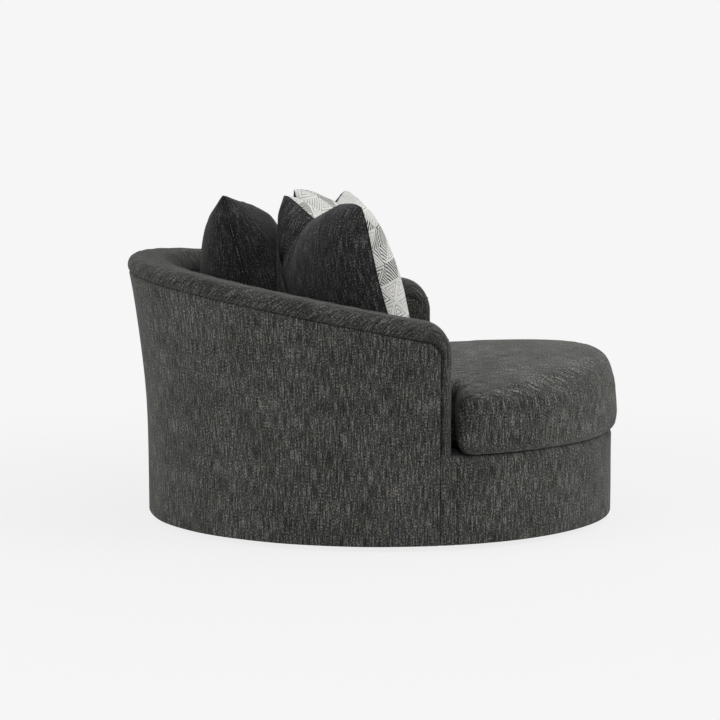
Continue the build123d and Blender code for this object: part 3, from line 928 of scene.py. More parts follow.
@dataclass
class RollAndFronts:
    """Padded strip that runs up one arm front, along the rail and down the other arm front."""

    form: WallForm
    front_steps: int = 44
    corner_steps: int = 22
    arm_steps: int = 26
    back_steps: int = 190
    section_points: int = 56
    crown: float = 0.0015
    bulge: float = 0.0012
    foot: float = 0.030
    foot_depth: float = 0.018
    foot_taper: float = 0.3
    bias: float = 0.75
    pucker: float = 0.0007
    roundest: float = 0.92
    side_width: float = 0.2
    slope_probe: float = 0.01
    rounds: int = 6
    front_weave_start: float = 21.0
    front_blend: float = 0.07
    # Painted shade: the whole strip is drawn darker
    painted_light_and_shade: float = -0.27

    def section(self, depth: Array) -> tuple[Array, Array]:
        """Rounded sections, from the outside seam over the top to the inside seam.

        Args:
            depth: Depth of the strip at each section, as a column.

        Returns:
            Share of the way across the wall, and depth below the crest.
        """
        form = self.form
        radius = np.minimum(form.roll_radius, self.roundest * depth)
        turn = np.linspace(0, math.pi / 2, self.section_points // 4)[None, :]
        straight = np.linspace(0, 1, self.section_points // 8, endpoint=False)[None, :]
        flat = np.linspace(0, 1, self.section_points // 4)[None, 1:-1]
        edge = radius / form.thickness
        side = np.concatenate([0 * edge * straight, edge * (1 - np.cos(turn))], 1)
        fall = np.concatenate([depth + (radius - depth) * straight, radius * (1 - np.sin(turn))], 1)
        inset = np.concatenate([side, edge + (1 - 2 * edge) * flat, 1 - side[:, ::-1]], 1)
        return inset, np.concatenate([fall, 0 * edge * flat, fall[:, ::-1]], 1)

    def profile(self) -> tuple[Array, Array, Array, Array]:
        """Line of one arm seen from the side, from just below the deck up the front and back along the rail.

        Returns:
            Places along Y and Z, the outward slope there as an angle, and the depth of the strip.
        """
        form = self.form
        start = form.arm_front + form.arm_corner
        rise = form.crest(start + self.slope_probe) - form.crest(start - self.slope_probe)
        slope = math.atan(float(rise) / (2 * self.slope_probe))
        turn = np.linspace(0, math.pi / 2 - slope, self.corner_steps)
        centre_z = float(form.crest(start)) - form.arm_corner
        foot_z = form.deck - self.foot_depth
        front_z = np.linspace(foot_z, centre_z, self.front_steps)[:-1]
        corner_y = start - form.arm_corner * np.cos(turn)
        corner_z = centre_z + form.arm_corner * np.sin(turn)
        arm_y = np.linspace(corner_y[-1], 0, self.arm_steps)[1:]
        lift = corner_z[-1] - form.crest(corner_y[-1])
        arm_z = form.crest(arm_y) + lift * (arm_y / corner_y[-1])
        upright = np.concatenate([0 * front_z, turn, np.linspace(turn[-1], math.pi / 2, len(arm_y))])
        depth = form.front_depth + (form.roll_depth - form.front_depth) * np.sin(upright) ** 2
        y = np.concatenate([form.arm_front + rounding(front_z - foot_z, self.foot), corner_y, arm_y])
        return y, np.concatenate([front_z, corner_z, arm_z]), upright, depth

    def half(self, side: float) -> tuple[Array, Array]:
        """Sections of one arm, from its foot to the swivel axis.

        Args:
            side: -1 for the right arm and 1 for the left.

        Returns:
            Points of the sections, and the length along the strip at each.
        """
        form = self.form
        y, z, upright, depth = (values[:, None] for values in self.profile())
        inset, below = self.section(depth)
        fall = below - self.swell(inset, below, depth)
        y_in = y + np.cos(upright) * fall
        z_in = z - np.sin(upright) * fall
        radius = form.radius(z_in) - inset * form.thickness + self.side_swell(inset, below, depth)
        radius = radius - self.foot_taper * np.maximum(form.deck - z_in, 0)
        x = side * np.sqrt(np.maximum(radius**2 - y_in**2, 0))
        steps = np.hypot(np.diff(y[:, 0]), np.diff(z[:, 0]))
        return np.stack([x, y_in, z_in], -1), np.concatenate([[0], np.cumsum(steps)])

    def swell(self, inset: Array, below: Array, depth: Array) -> Array:
        """Crown over the middle of the strip."""
        return self.crown * np.sin(math.pi * np.clip(inset, 0, 1)) * (1 - below / depth)

    def side_swell(self, inset: Array, below: Array, depth: Array) -> Array:
        """Bulge of the strip's sides, drawn in at the seams.

        Args:
            inset: Share of the way across the wall.
            below: Depth below the crest.
            depth: Depth of the strip.

        Returns:
            How much further from the axis the sides lie.
        """
        outward = np.where(inset < 0.5, 1.0, -1.0)
        side = np.exp(-((np.minimum(inset, 1 - inset) / self.side_width) ** 2))
        share = below / depth
        sink = self.form.groove((1 - share) * depth) * np.where(inset < 0.5, 1.0, self.form.inside_share)
        return outward * side * (self.bulge * np.sin(math.pi * share) - sink)

    def rail(self) -> tuple[Array, Array]:
        """Sections round the back, from the right side to the left.

        Returns:
            Points of the sections, and the length along the strip at each.
        """
        form = self.form
        angle = np.linspace(-math.pi / 2, math.pi / 2, self.back_steps)[1:-1, None]
        inset, below = self.section(np.full(angle.shape, form.roll_depth))
        z = np.full(inset.shape, form.crest_back)
        for _ in range(self.rounds):
            radius = form.radius(z) - inset * form.thickness
            z = form.crest(radius * np.cos(angle)) - below
        # Shallow puckers, closer in some places than in others
        ripple = self.pucker * np.sin(46 * angle + 3 * np.sin(5 * angle)) * (1 - below / form.roll_depth)
        z = z + self.swell(inset, below, form.roll_depth) + ripple
        radius = radius + self.side_swell(inset, below, form.roll_depth)
        return round_points(radius, angle, z), (angle[:, 0] + math.pi / 2) * form.base_radius

    def build(self) -> Piece:
        """Make the strip's mesh.

        Returns:
            The strip.
        """
        right, right_run = self.half(-1.0)
        left, left_run = self.half(1.0)
        rail, rail_run = self.rail()
        sections = np.concatenate([right, rail, left[::-1]])
        rail_run = rail_run + right_run[-1]
        run = np.concatenate([right_run, rail_run, rail_run[-1] + left_run[-1] - left_run[::-1]])
        strip = sweep_piece("top_roll_and_arm_fronts", sections)
        steps = np.linalg.norm(np.diff(sections, axis=1), axis=2)
        girth = np.concatenate([np.zeros((len(sections), 1)), np.cumsum(steps, 1)], 1)
        across = np.cos(self.bias) * run[:, None] + np.sin(self.bias) * girth
        along = np.cos(self.bias) * girth - np.sin(self.bias) * run[:, None]
        set_vectors(strip, WEAVE, np.stack([across, along], -1).reshape(-1, 2))
        upright = np.stack(np.broadcast_arrays(girth + self.front_weave_start, run[:, None]), -1)
        set_vectors(strip, WEAVE_SIDE, upright.reshape(-1, 2))
        seam_y = self.form.seam_y
        behind = smooth_step(seam_y, seam_y + self.front_blend, vertex_places(strip)[:, 1])
        set_numbers(strip, SIDE_SHARE, 1 - behind)
        lay_painted_light_and_shade(strip, self.painted_light_and_shade)
        return strip

    def dress(self, strip: Piece, cloth: Cloth) -> None:
        """Cover the mesh in cloth and tie it to the chair."""
        dress_soft(strip, cloth, Body.CHAIR, Slot.CHENILLE, "top_roll", "arm_front_left", "arm_front_right")


@dataclass
class InsideBack:
    """Padded inside of the back and arms, from the deck to the roll."""

    form: WallForm
    depth: float = 0.055
    rows: int = 70
    columns: int = 240
    bulge: float = 0.006
    cushion_top: float = 0.49
    least_rise: float = 0.01
    weave_start: float = 7.3
    # Painted shade: the whole pad is drawn darker
    painted_light_and_shade: float = -0.24

    def build(self) -> Piece:
        """Make the pad's mesh.

        Returns:
            The pad.
        """
        form = self.form
        share = 2 * eased(self.columns) - 1
        top = form.edge_height(form.thickness, share)
        z = form.deck + eased(self.rows)[:, None] * (top - form.deck)
        inside = form.radius(z) - form.thickness
        angle = share * form.edge_angle(inside)
        above = (z - self.cushion_top) / np.maximum(top - self.cushion_top, self.least_rise)
        swell = self.bulge * np.sin(math.pi * np.clip(above, 0, 1))
        swell = swell - form.inside_share * form.groove(form.seam_distance(inside * np.cos(angle), z))
        inner, outer = (round_points(inside + out, angle, z) for out in (-swell, self.depth))
        pad = slab_piece("inside_back_pad", inner, outer)
        lay_cloth(pad, angle * form.base_radius + self.weave_start, z)
        lay_painted_light_and_shade(pad, self.painted_light_and_shade)
        return pad

    def dress(self, pad: Piece, cloth: Cloth) -> None:
        """Cover the mesh in cloth and tie it to the chair."""
        dress_soft(pad, cloth, Body.CHAIR, Slot.CHENILLE, "inside_back")


def dress_soft(piece: Piece, cloth: Cloth, body: Body, slot: Slot, *nodes: str) -> None:
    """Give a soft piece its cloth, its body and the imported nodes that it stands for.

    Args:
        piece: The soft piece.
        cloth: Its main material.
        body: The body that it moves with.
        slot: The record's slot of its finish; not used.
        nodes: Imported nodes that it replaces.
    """
    piece.data.materials.append(cloth)
    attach(piece, body.value)
    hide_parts(*nodes)


# Loose cushion


@dataclass
class SeatCushion:
    """Loose T-shaped cushion with a round front, between and before the arms."""

    front_radius: float = 0.733
    rear_radius: float = 0.554
    wing_y: float = -0.208
    wing_corner: float = 0.041
    notch_corner: float = 0.024
    bottom: float = 0.2775
    height: float = 0.237
    crown_forward: float = 0.550
    crown_across: float = 4.400
    crown_along: float = 8.750
    plain_height: float = 0.195
    top_edge: float = 0.040
    bottom_edge: float = 0.028
    side_bulge: float = 0.004
    shoulder: float = 0.010
    shoulder_height: float = 0.156
    shoulder_width: float = 0.036
    shoulder_reach: Span = (0.60, 0.70)
    shoulder_ahead: Span = (0.02, 0.08)
    held_low: Span = (0.004, 0.05)
    held_between_arms: Span = (-0.16, -0.01)
    dome_start: float = 0.2
    top_give: float = 0.002
    give_reach: float = 0.004
    least_radius: float = 0.1
    top_slope: Span = (0.45, 0.75)
    top_weave_start: float = 11.0
    side_weave_start: float = 15.0
    # Painted light: the top is drawn paler than the sides
    painted_light_and_shade: float = 0.22
    arc_points: int = 90
    corner_points: int = 14
    ring_points: int = 12
    voxel: float = 0.010
    pressure: float = 4.0
    frames: int = 12
    cap: float = 0.022

    def outline(self) -> Array:
        """Closed outline seen from above, anticlockwise.

        Returns:
            Points, one row each.
        """
        wing_y = self.wing_y - self.wing_corner
        wing_x = math.sqrt((self.front_radius - self.wing_corner) ** 2 - wing_y**2)
        notch_y = self.wing_y + self.notch_corner
        notch_x = math.sqrt((self.rear_radius + self.notch_corner) ** 2 - notch_y**2)
        notch_turn, wing_turn = math.atan2(notch_y, notch_x), math.atan2(wing_y, wing_x)
        arcs = [
            (0, 0, self.rear_radius, math.pi / 2, notch_turn, self.arc_points),
            (notch_x, notch_y, self.notch_corner, notch_turn + math.pi, 1.5 * math.pi, self.corner_points),
            (wing_x, wing_y, self.wing_corner, math.pi / 2, wing_turn, self.corner_points),
            (0, 0, self.front_radius, wing_turn, -math.pi / 2, self.arc_points),
        ]
        half = np.concatenate([self.arc(*arc) for arc in arcs])
        other = half[::-1][1:-1] * (-1, 1)
        return np.concatenate([half, other])[::-1]

    def arc(self, x: float, y: float, radius: float, start: float, end: float, count: int) -> Array:
        """Points along an arc; a corner leaves its last point to the arc that follows.

        Args:
            x: Middle of the arc across the chair.
            y: Middle of the arc from front to back.
            radius: Radius of the arc.
            start: Angle of its first point.
            end: Angle of its last point.
            count: Number of points.

        Returns:
            Points, one row each.
        """
        turn = np.linspace(start, end, count)
        points = np.stack([x + radius * np.cos(turn), y + radius * np.sin(turn)], -1)
        return points if count == self.arc_points else points[:-1]

    def rings(self) -> tuple[Array, Array]:
        """Insets and heights of the rings from the bottom to the top.

        Returns:
            Inset of each ring from the outline, and its height over the bottom.
        """
        turn = np.linspace(0, math.pi / 2, self.ring_points)
        low_z = self.bottom_edge * (1 - np.cos(turn))
        side = np.linspace(0, 1, self.ring_points)[1:-1]
        side_span = self.plain_height - self.top_edge - self.bottom_edge
        top_z = self.plain_height - self.top_edge * (1 - np.sin(turn))
        low_inset, top_inset = self.bottom_edge * (1 - np.sin(turn)), self.top_edge * (1 - np.cos(turn))
        inset = np.concatenate([low_inset, -self.side_bulge * np.sin(math.pi * side), top_inset])
        return inset, np.concatenate([low_z, self.bottom_edge + side * side_span, top_z])

    def build(self) -> Piece:
        """Make the cushion's mesh: lofted, remeshed, swollen and crowned.

        Returns:
            The cushion.
        """
        outline = self.outline()
        ahead, behind = np.roll(outline, -1, 0), np.roll(outline, 1, 0)
        tangent = ahead - behind
        tangent /= np.linalg.norm(tangent, axis=1, keepdims=True)
        inward = np.stack([-tangent[:, 1], tangent[:, 0]], -1)
        sections = []
        for inset, z in zip(*self.rings()):
            ring = outline + inward * inset
            sections.append(np.column_stack([ring, np.full(len(ring), self.bottom + z)]))
        cushion = sweep_piece("seat_cushion_pad", np.array(sections))
        remesh = cushion.modifiers.new("remesh", "REMESH")
        remesh.mode = "VOXEL"
        remesh.voxel_size = self.voxel
        remesh.use_smooth_shade = True
        self.apply_first(cushion)
        rest = vertex_places(cushion)
        low = 1 - smooth_step(*self.held_low, rest[:, 2] - self.bottom)
        between_arms = smooth_step(*self.held_between_arms, rest[:, 1] - self.wing_y)
        puff(cushion, self.pressure, self.frames, self.cap, np.maximum(low, between_arms))
        self.settle(cushion)
        self.lay_weave(cushion)
        refine(cushion)
        return cushion

    def apply_first(self, cushion: Piece) -> None:
        """Put the result of the piece's modifiers into its mesh.

        Args:
            cushion: The cushion.
        """
        finished = cushion.evaluated_get(bpy.context.evaluated_depsgraph_get())
        made = bpy.data.meshes.new_from_object(finished)
        cushion.modifiers.clear()
        cushion.data = made
        made.polygons.foreach_set("use_smooth", np.ones(len(made.polygons), bool))

    def top_height(self, x: Array, y: Array) -> Array:
        """Height of the domed top, which is highest near the front."""
        fall = x**2 / self.crown_across + (y + self.crown_forward) ** 2 / self.crown_along
        return self.bottom + self.height - fall / 2

    def settle(self, cushion: Piece) -> None:
        """Dome the top, fill out its front edge and lay the bottom flat on the deck.

        Args:
            cushion: The cushion.
        """
        places = vertex_places(cushion)
        plain_top = self.bottom + self.plain_height
        over = np.maximum(places[:, 2] - plain_top, 0)
        places[:, 2] -= over - self.top_give * np.tanh(over / self.give_reach)
        share = smooth_step(self.dome_start * self.height, self.plain_height, places[:, 2] - self.bottom)
        places[:, 2] += share * (self.top_height(places[:, 0], places[:, 1]) - plain_top)
        places[:, 2] = np.maximum(places[:, 2], self.bottom)
        radial = np.hypot(places[:, 0], places[:, 1])
        ahead = smooth_step(*self.shoulder_ahead, self.wing_y - places[:, 1])
        ahead = ahead * smooth_step(*self.shoulder_reach, radial)
        above = places[:, 2] - self.bottom - self.shoulder_height
        out = self.shoulder * ahead * np.exp(-((above / self.shoulder_width) ** 2))
        places[:, :2] *= 1 + (out / np.maximum(radial, self.least_radius))[:, None]
        move_vertices(cushion, places)

    def lay_weave(self, cushion: Piece) -> None:
        """Run the warp from front to back on top and upright on the sides, and paint the top paler as
        painted light.

        Args:
            cushion: The cushion.
        """
        places = vertex_places(cushion)
        normals = np.zeros(len(places) * 3, np.float32)
        cushion.data.vertices.foreach_get("normal", normals)
        upright = np.abs(normals.reshape(-1, 3)[:, 2])
        angle = np.arctan2(places[:, 0], -places[:, 1])
        set_vectors(cushion, WEAVE, places[:, :2] + (self.top_weave_start, 0.0))
        round_side = angle * self.front_radius + self.side_weave_start
        set_vectors(cushion, WEAVE_SIDE, np.stack([round_side, places[:, 2]], -1))
        top_share = smooth_step(*self.top_slope, upright)
        set_numbers(cushion, SIDE_SHARE, 1 - top_share)
        # Painted light on the top
        set_numbers(cushion, PAINTED_LIGHT_AND_SHADE, self.painted_light_and_shade * top_share)

    def dress(self, cushion: Piece, cloth: Cloth) -> None:
        """Cover the mesh in cloth and tie it to its body."""
        dress_soft(cushion, cloth, Body.CUSHION, Slot.CHENILLE, "seat_cushion")


# Throw pillows


@dataclass
class ThrowPillow:
    """Knife-edge pillow: two square panels sewn together and stuffed."""

    name: str
    node: str
    body: Body
    slot: Slot
    shift: tuple[float, float]
    lean: float
    turn: float
    top: float
    front_share: float
    thickness: float
    chop: float = 0.0
    chop_place: float = 0.0
    roll: float = 0.0
    pressed: float = -1.0
    relief: float = 0.0
    ears: float = 0.550
    ear_round: float = 0.045
    plumpness: float = 0.41
    sag: float = 0.0
    # Painted light and shade for the whole pillow
    painted_light_and_shade: float = 0.0
    draw: float = 0.11
    cells: int = 72
    pressure: float = 3.0
    frames: int = 10
    cap: float = 0.028
    start_share: float = 0.92
    sink: float = 0.016
    pucker: float = 0.0022
    gather_reach: float = 0.035
    fold: float = 0.009
    fold_width: float = 0.014
    fold_top: float = 0.97
    fold_drop: float = 0.8
    fold_swing: float = 0.5
    fold_bend: float = 1.6
    welt: float = 0.008
    chop_width: float = 0.8
    chop_bend: float = 1.25
    chop_low: float = -0.4
    dent: float = 0.3
    dent_width: float = 0.2
    dent_low: float = 0.2
    held_width: float = 0.05
    held_above: float = 0.86
    relief_span: Span = (0.01, 0.09)
    press_give: float = 0.004
    clearance: float = 0.003

    def panels(self) -> tuple[Array, Array]:
        """Vertex numbers of the front and back panels, which share the seam.

        Returns:
            Two grids of numbers, rows by columns.
        """
        count = self.cells + 1
        front = np.arange(count * count).reshape(count, count)
        back = front.copy()
        inner = (self.cells - 1) ** 2
        back[1:-1, 1:-1] = count * count + np.arange(inner).reshape(self.cells - 1, -1)
        return front, back

    def both(self, grid: Array, back: Array) -> Array:
        """Values of the front panel followed by those of the back panel inside the seam."""
        width = grid.shape[-1]
        return np.concatenate([grid.reshape(-1, width), back[1:-1, 1:-1].reshape(-1, width)])

    def build(self, cushion: "SeatCushion") -> Piece:
        """Make the pillow's mesh where it stands.

        Args:
            cushion: The cushion that it stands on.

        Returns:
            The pillow.
        """
        front, back = self.panels()
        line = np.linspace(-1, 1, self.cells + 1)
        flat = np.stack(np.meshgrid(line, line), -1)
        panel = self.panel(flat[..., 0], flat[..., 1])
        places = self.both(panel * (1, 1, 2 * self.front_share), panel * (1, 1, 2 * self.front_share - 2))
        pillow = mesh_piece(self.name, places, quads(front) + quads(back[:, ::-1]))
        where = self.both(flat, flat)
        sides = [Panel.FRONT.value] * self.cells**2 + [Panel.BACK.value] * self.cells**2
        pillow.data.polygons.foreach_set("material_index", sides)
        puff(pillow, self.pressure, self.frames, self.cap, self.held(where))
        self.crease(pillow, where)
        self.fit(pillow)
        sewn = vertex_places(pillow)
        weave = self.both(self.lengths(sewn[front]), self.lengths(sewn[back]))
        set_vectors(pillow, WEAVE, weave + (self.turn, self.lean))
        # Nearness to the seam, which places the painted seam shade and highlight
        near = self.both(self.seam_near(sewn[front]), self.seam_near(sewn[back]))
        set_numbers(pillow, SEAM_NEAR, near[:, 0])
        lay_painted_light_and_shade(pillow, self.painted_light_and_shade)
        self.stand(pillow, cushion)
        refine(pillow)
        return pillow

    def panel(self, across: Array, up: Array) -> Array:
        """Form of the front panel before it is stuffed.

        Args:
            across: Places from -1 to 1 across the panel.
            up: Places from -1 to 1 up the panel.

        Returns:
            Points in metres, with the pillow's middle at the origin.
        """
        half = self.ears / 2
        x = half * across * (1 - self.draw * (1 - up**2) * np.abs(across) ** 3 - self.ear_round * up**8)
        y = half * up * (1 - self.draw * (1 - across**2) * np.abs(up) ** 3 - self.ear_round * across**8)
        z = self.start_share * self.thickness / 2 * ((1 - across**2) * (1 - up**2)) ** self.plumpness
        z = z * (1 - self.sag * up)
        if self.chop:
            aside = np.abs(across - self.chop_place)
            high = smooth_step(self.chop_low, 1, up)
            y = y - self.chop * np.clip(1 - aside / self.chop_width, 0, 1) ** self.chop_bend * high
            dent = self.dent * np.exp(-((aside / self.dent_width) ** 2))
            z = z * (1 - dent * smooth_step(self.dent_low, 1, up))
        return np.stack([x, y, z], -1)

    def lengths(self, grid: Array) -> Array:
        """Lengths along the cloth from a panel's middle lines.

        Args:
            grid: Points of the panel, rows by columns by three.

        Returns:
            Length across and up the panel at each point.
        """
        runs = []
        for axis in (1, 0):
            steps = np.linalg.norm(np.diff(grid, axis=axis), axis=2)
            run = np.concatenate([np.zeros_like(np.take(steps, [0], axis)), np.cumsum(steps, axis)], axis)
            runs.append(run - np.take(run, [self.cells // 2], axis))
        return np.stack(runs, -1)

    def seam_near(self, grid: Array) -> Array:
        """Nearness to the seam, measured along the cloth of a panel.

        Args:
            grid: Points of the panel, rows by columns by three.

        Returns:
            From 0 beyond the seam's reach to 1 on the seam, rows by columns by one.
        """
        run = self.lengths(grid)
        sides = (run[..., :1] - run[:, :1, :1], run[:, -1:, :1] - run[..., :1])
        ends = (run[..., 1:] - run[:1, :, 1:], run[-1:, :, 1:] - run[..., 1:])
        return np.maximum(1 - np.minimum(np.minimum(*sides), np.minimum(*ends)) / SEAM_REACH, 0)

    def held(self, where: Array) -> Array | None:
        """How firmly the dent in the top edge holds the cloth.

        Args:
            where: Places on the panels, from -1 to 1, one row for each vertex.

        Returns:
            A share from 0 to 1 for each vertex, or nothing for an edge without a dent.
        """
        if not self.chop:
            return None
        dented = np.abs(where[:, 0] - self.chop_place) < self.held_width
        return np.where(dented & (where[:, 1] > self.held_above), 1.0, 0.0)

    def crease(self, pillow: Piece, where: Array) -> None:
        """Gather the cloth along the seams, and fold it below the dent and at the ears.

        Args:
            pillow: The stuffed pillow.
            where: Places on the panels, from -1 to 1, one row for each vertex.
        """
        places = vertex_places(pillow)
        across, up = where[:, 0], where[:, 1]
        edge = np.minimum(1 - np.abs(across), 1 - np.abs(up)) * self.ears / 2
        along = np.where(np.abs(across) > np.abs(up), up, across)
        # Gathers along the seam, closer in some places than in others
        gather = np.sin(26 * along + 2 * np.sin(7 * along + self.turn))
        depth = self.pucker * gather * np.exp(-edge / self.gather_reach) * (edge > 0)
        if self.chop:
            step = np.linspace(0, 1, 30)[:, None]
            swing = self.chop_place + self.fold_swing * step**self.fold_bend
            curve = np.stack([swing, self.fold_top - self.fold_drop * step], -1)
            away = np.linalg.norm(where[None] - curve, axis=2).min(0) * self.ears / 2
            depth = depth - self.fold * np.exp(-((away / self.fold_width) ** 2)) * (edge > 0)
        places[:, 2] += np.sign(places[:, 2]) * depth
        places[:, :2] *= 1 + (edge <= 0)[:, None] * 2 * self.welt / self.ears
        move_vertices(pillow, places)

    def fit(self, pillow: Piece) -> None:
        """Bring the stuffed pillow to its size.

        Args:
            pillow: The stuffed pillow.
        """
        places = vertex_places(pillow)
        places -= (places.max(0) + places.min(0)) / 2
        span = places.max(0) - places.min(0)
        size = np.array([self.ears, self.ears + self.sink, self.thickness])
        move_vertices(pillow, places * (size / span))

    def stand(self, pillow: Piece, cushion: "SeatCushion") -> None:
        """Lean and turn the pillow, set it down on the cushion and press it flat where others lean on it.

        Args:
            pillow: The stuffed pillow, about its own middle.
            cushion: The cushion that it stands on.
        """
        low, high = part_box(self.node)
        middle = (np.array(low) + np.array(high)) / 2
        places = vertex_places(pillow)
        lean, turn, roll = (math.radians(angle) for angle in (self.lean, self.turn, self.roll))
        level = np.array([math.cos(turn), math.sin(turn), 0])
        backward = np.array([-math.sin(turn), math.cos(turn), 0])
        rising = math.sin(lean) * backward + math.cos(lean) * np.array([0, 0, 1])
        across = math.cos(roll) * level + math.sin(roll) * rising
        up = math.cos(roll) * rising - math.sin(roll) * level
        world = places @ np.stack([across, up, np.cross(across, up)])
        world += middle + (*self.shift, self.top - middle[2] - world[:, 2].max())
        limit = self.pressed - self.relief * smooth_step(*self.relief_span, world[:, 0])
        ahead = np.maximum(limit - world[:, 1], 0)
        world[:, 1] += ahead - self.press_give * np.tanh(ahead / self.press_give)
        seat_top = cushion.top_height(world[:, 0], world[:, 1])
        world[:, 2] = np.maximum(world[:, 2], seat_top + self.clearance)
        move_vertices(pillow, world)

    def dress(self, pillow: Piece, back: Cloth, front: Cloth) -> None:
        """Cover both panels in cloth and tie the pillow to its body.

        Args:
            pillow: The pillow.
            back: Cloth of the back panel.
            front: Cloth of the front panel.
        """
        dress_soft(pillow, back, self.body, self.slot, self.node)
        pillow.data.materials.append(front)


# Deck and dust cover


@dataclass
class DeckPad:
    """Padded deck under the cushion, sewn in squares."""

    radius: float = 0.605
    bottom: float = 0.2486
    top: float = 0.2765
    channel: float = 0.005
    channel_width: float = 0.008
    square: float = 0.160
    edge_round: float = 0.012
    hub: float = 0.004
    rings: int = 90
    spokes: int = 220

    def build(self) -> Piece:
        """Make the pad's mesh.

        Returns:
            The pad.
        """
        reach = np.linspace(self.hub, self.radius, self.rings)[:, None]
        angle = np.linspace(0, 2 * math.pi, self.spokes, endpoint=False)[None, :]
        x, y = reach * np.cos(angle), reach * np.sin(angle)
        lines = [np.abs((value / self.square + 0.5) % 1 - 0.5) * self.square for value in (x, y)]
        dip = self.channel * np.exp(-((np.minimum(*lines) / self.channel_width) ** 2))
        edge = rounding(self.radius - reach, self.edge_round)
        top = np.stack([x, y, self.top - dip - edge], -1)
        low = np.stack([x, y, np.full_like(x, self.bottom)], -1)
        return sweep_piece("deck_pad_quilt", np.concatenate([low[:1], low[-1:], top[::-1]]))

    def dress(self, pad: Piece, cloth: Cloth) -> None:
        """Cover the mesh in deck cloth and tie it to the chair."""
        dress_soft(pad, cloth, Body.CHAIR, Slot.DECK_CLOTH, "deck_pad")


@dataclass
class DustCover:
    """Thin cloth stretched under the base, with an opening round the floor ring."""

    radius: float = 0.7065
    opening: float = 0.500
    top: float = 0.0169
    thickness: float = 0.0006
    sag: float = 0.0004
    sag_waves: int = 9
    wave_share: float = 0.5
    rings: int = 14
    spokes: int = 180

    def build(self) -> Piece:
        """Make the cover's mesh.

        Returns:
            The cover.
        """
        share = np.linspace(0, 1, self.rings)[:, None]
        reach = self.opening + share * (self.radius - self.opening)
        angle = np.linspace(0, 2 * math.pi, self.spokes, endpoint=False)[None, :]
        x, y = reach * np.cos(angle), reach * np.sin(angle)
        dip = self.sag * np.sin(math.pi * share) * (1 + self.wave_share * np.sin(self.sag_waves * angle))
        upper = np.stack([x, y, self.top - dip], -1)
        loop = np.concatenate([upper, (upper - (0, 0, self.thickness))[::-1]])
        index = np.arange(loop.shape[0] * self.spokes).reshape(loop.shape[0], self.spokes)
        index = np.concatenate([index, index[:1]])
        faces = quads(np.concatenate([index, index[:, :1]], 1))
        return mesh_piece("dust_cover_cloth", loop.reshape(-1, 3), faces)

    def dress(self, sheet: Piece, cloth: Cloth) -> None:
        """Give the sheet its cloth and tie it to the chair.

        Args:
            sheet: The dust cover.
            cloth: Its material.
        """
        dress_soft(sheet, cloth, Body.CHAIR, Slot.DUST_CLOTH, "dust_cover")


# Frame and studio


@dataclass
class HiddenFrame:
    """Wooden frame, springs and swivel base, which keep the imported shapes."""

    finishes: dict[str, Finish]

    def dress(self) -> None:
        """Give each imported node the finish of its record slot."""
        made = {name: finish.make() for name, finish in self.finishes.items()}
        for row in frame["record"]["subparts"]:
            if row["material_slot"] in made:
                mesh = frame["nodes"][row["node"]].data
                mesh.materials.clear()
                mesh.materials.append(made[row["material_slot"]])
                mesh.polygons.foreach_set("material_index", np.zeros(len(mesh.polygons), np.int32))
                log.info("%s: %s", row["node"], row["material_slot"])


@dataclass(frozen=True)
class Lamp:
    """Square soft lamp, with its power in watts."""

    name: str
    place: Point
    aim: Point
    size: float
    power: float

    def hang(self) -> None:
        """Hang the lamp where it faces its aim."""
        light = bpy.data.lights.new(self.name, "AREA")
        light.shape = "SQUARE"
        light.size = self.size
        light.energy = self.power
        set_up(bpy.data.objects.new(self.name, light), self.place, Vector(self.aim) - Vector(self.place))


def set_up(thing: Piece, place: Point, facing: Vector) -> None:
    """Put a lamp or the camera in its place, with its front towards a direction.

    Args:
        thing: The lamp or camera.
        place: Where it goes.
        facing: The direction.
    """
    thing.location = place
    thing.rotation_mode = "QUATERNION"
    thing.rotation_quaternion = facing.to_track_quat("-Z", "Y")
    bpy.context.scene.collection.objects.link(thing)


LAMPS = (
    Lamp("overhead", (-0.4, -0.4, 3.6), (0, 0, 0.4), size=3.2, power=48.0),
    Lamp("front", (-1.8, -4.2, 2.3), (0, 0, 0.4), size=2.4, power=90.0),
    Lamp("rear", (-1.8, 4.6, 2.0), (0, 0, 0.5), size=2.4, power=70.0),
)


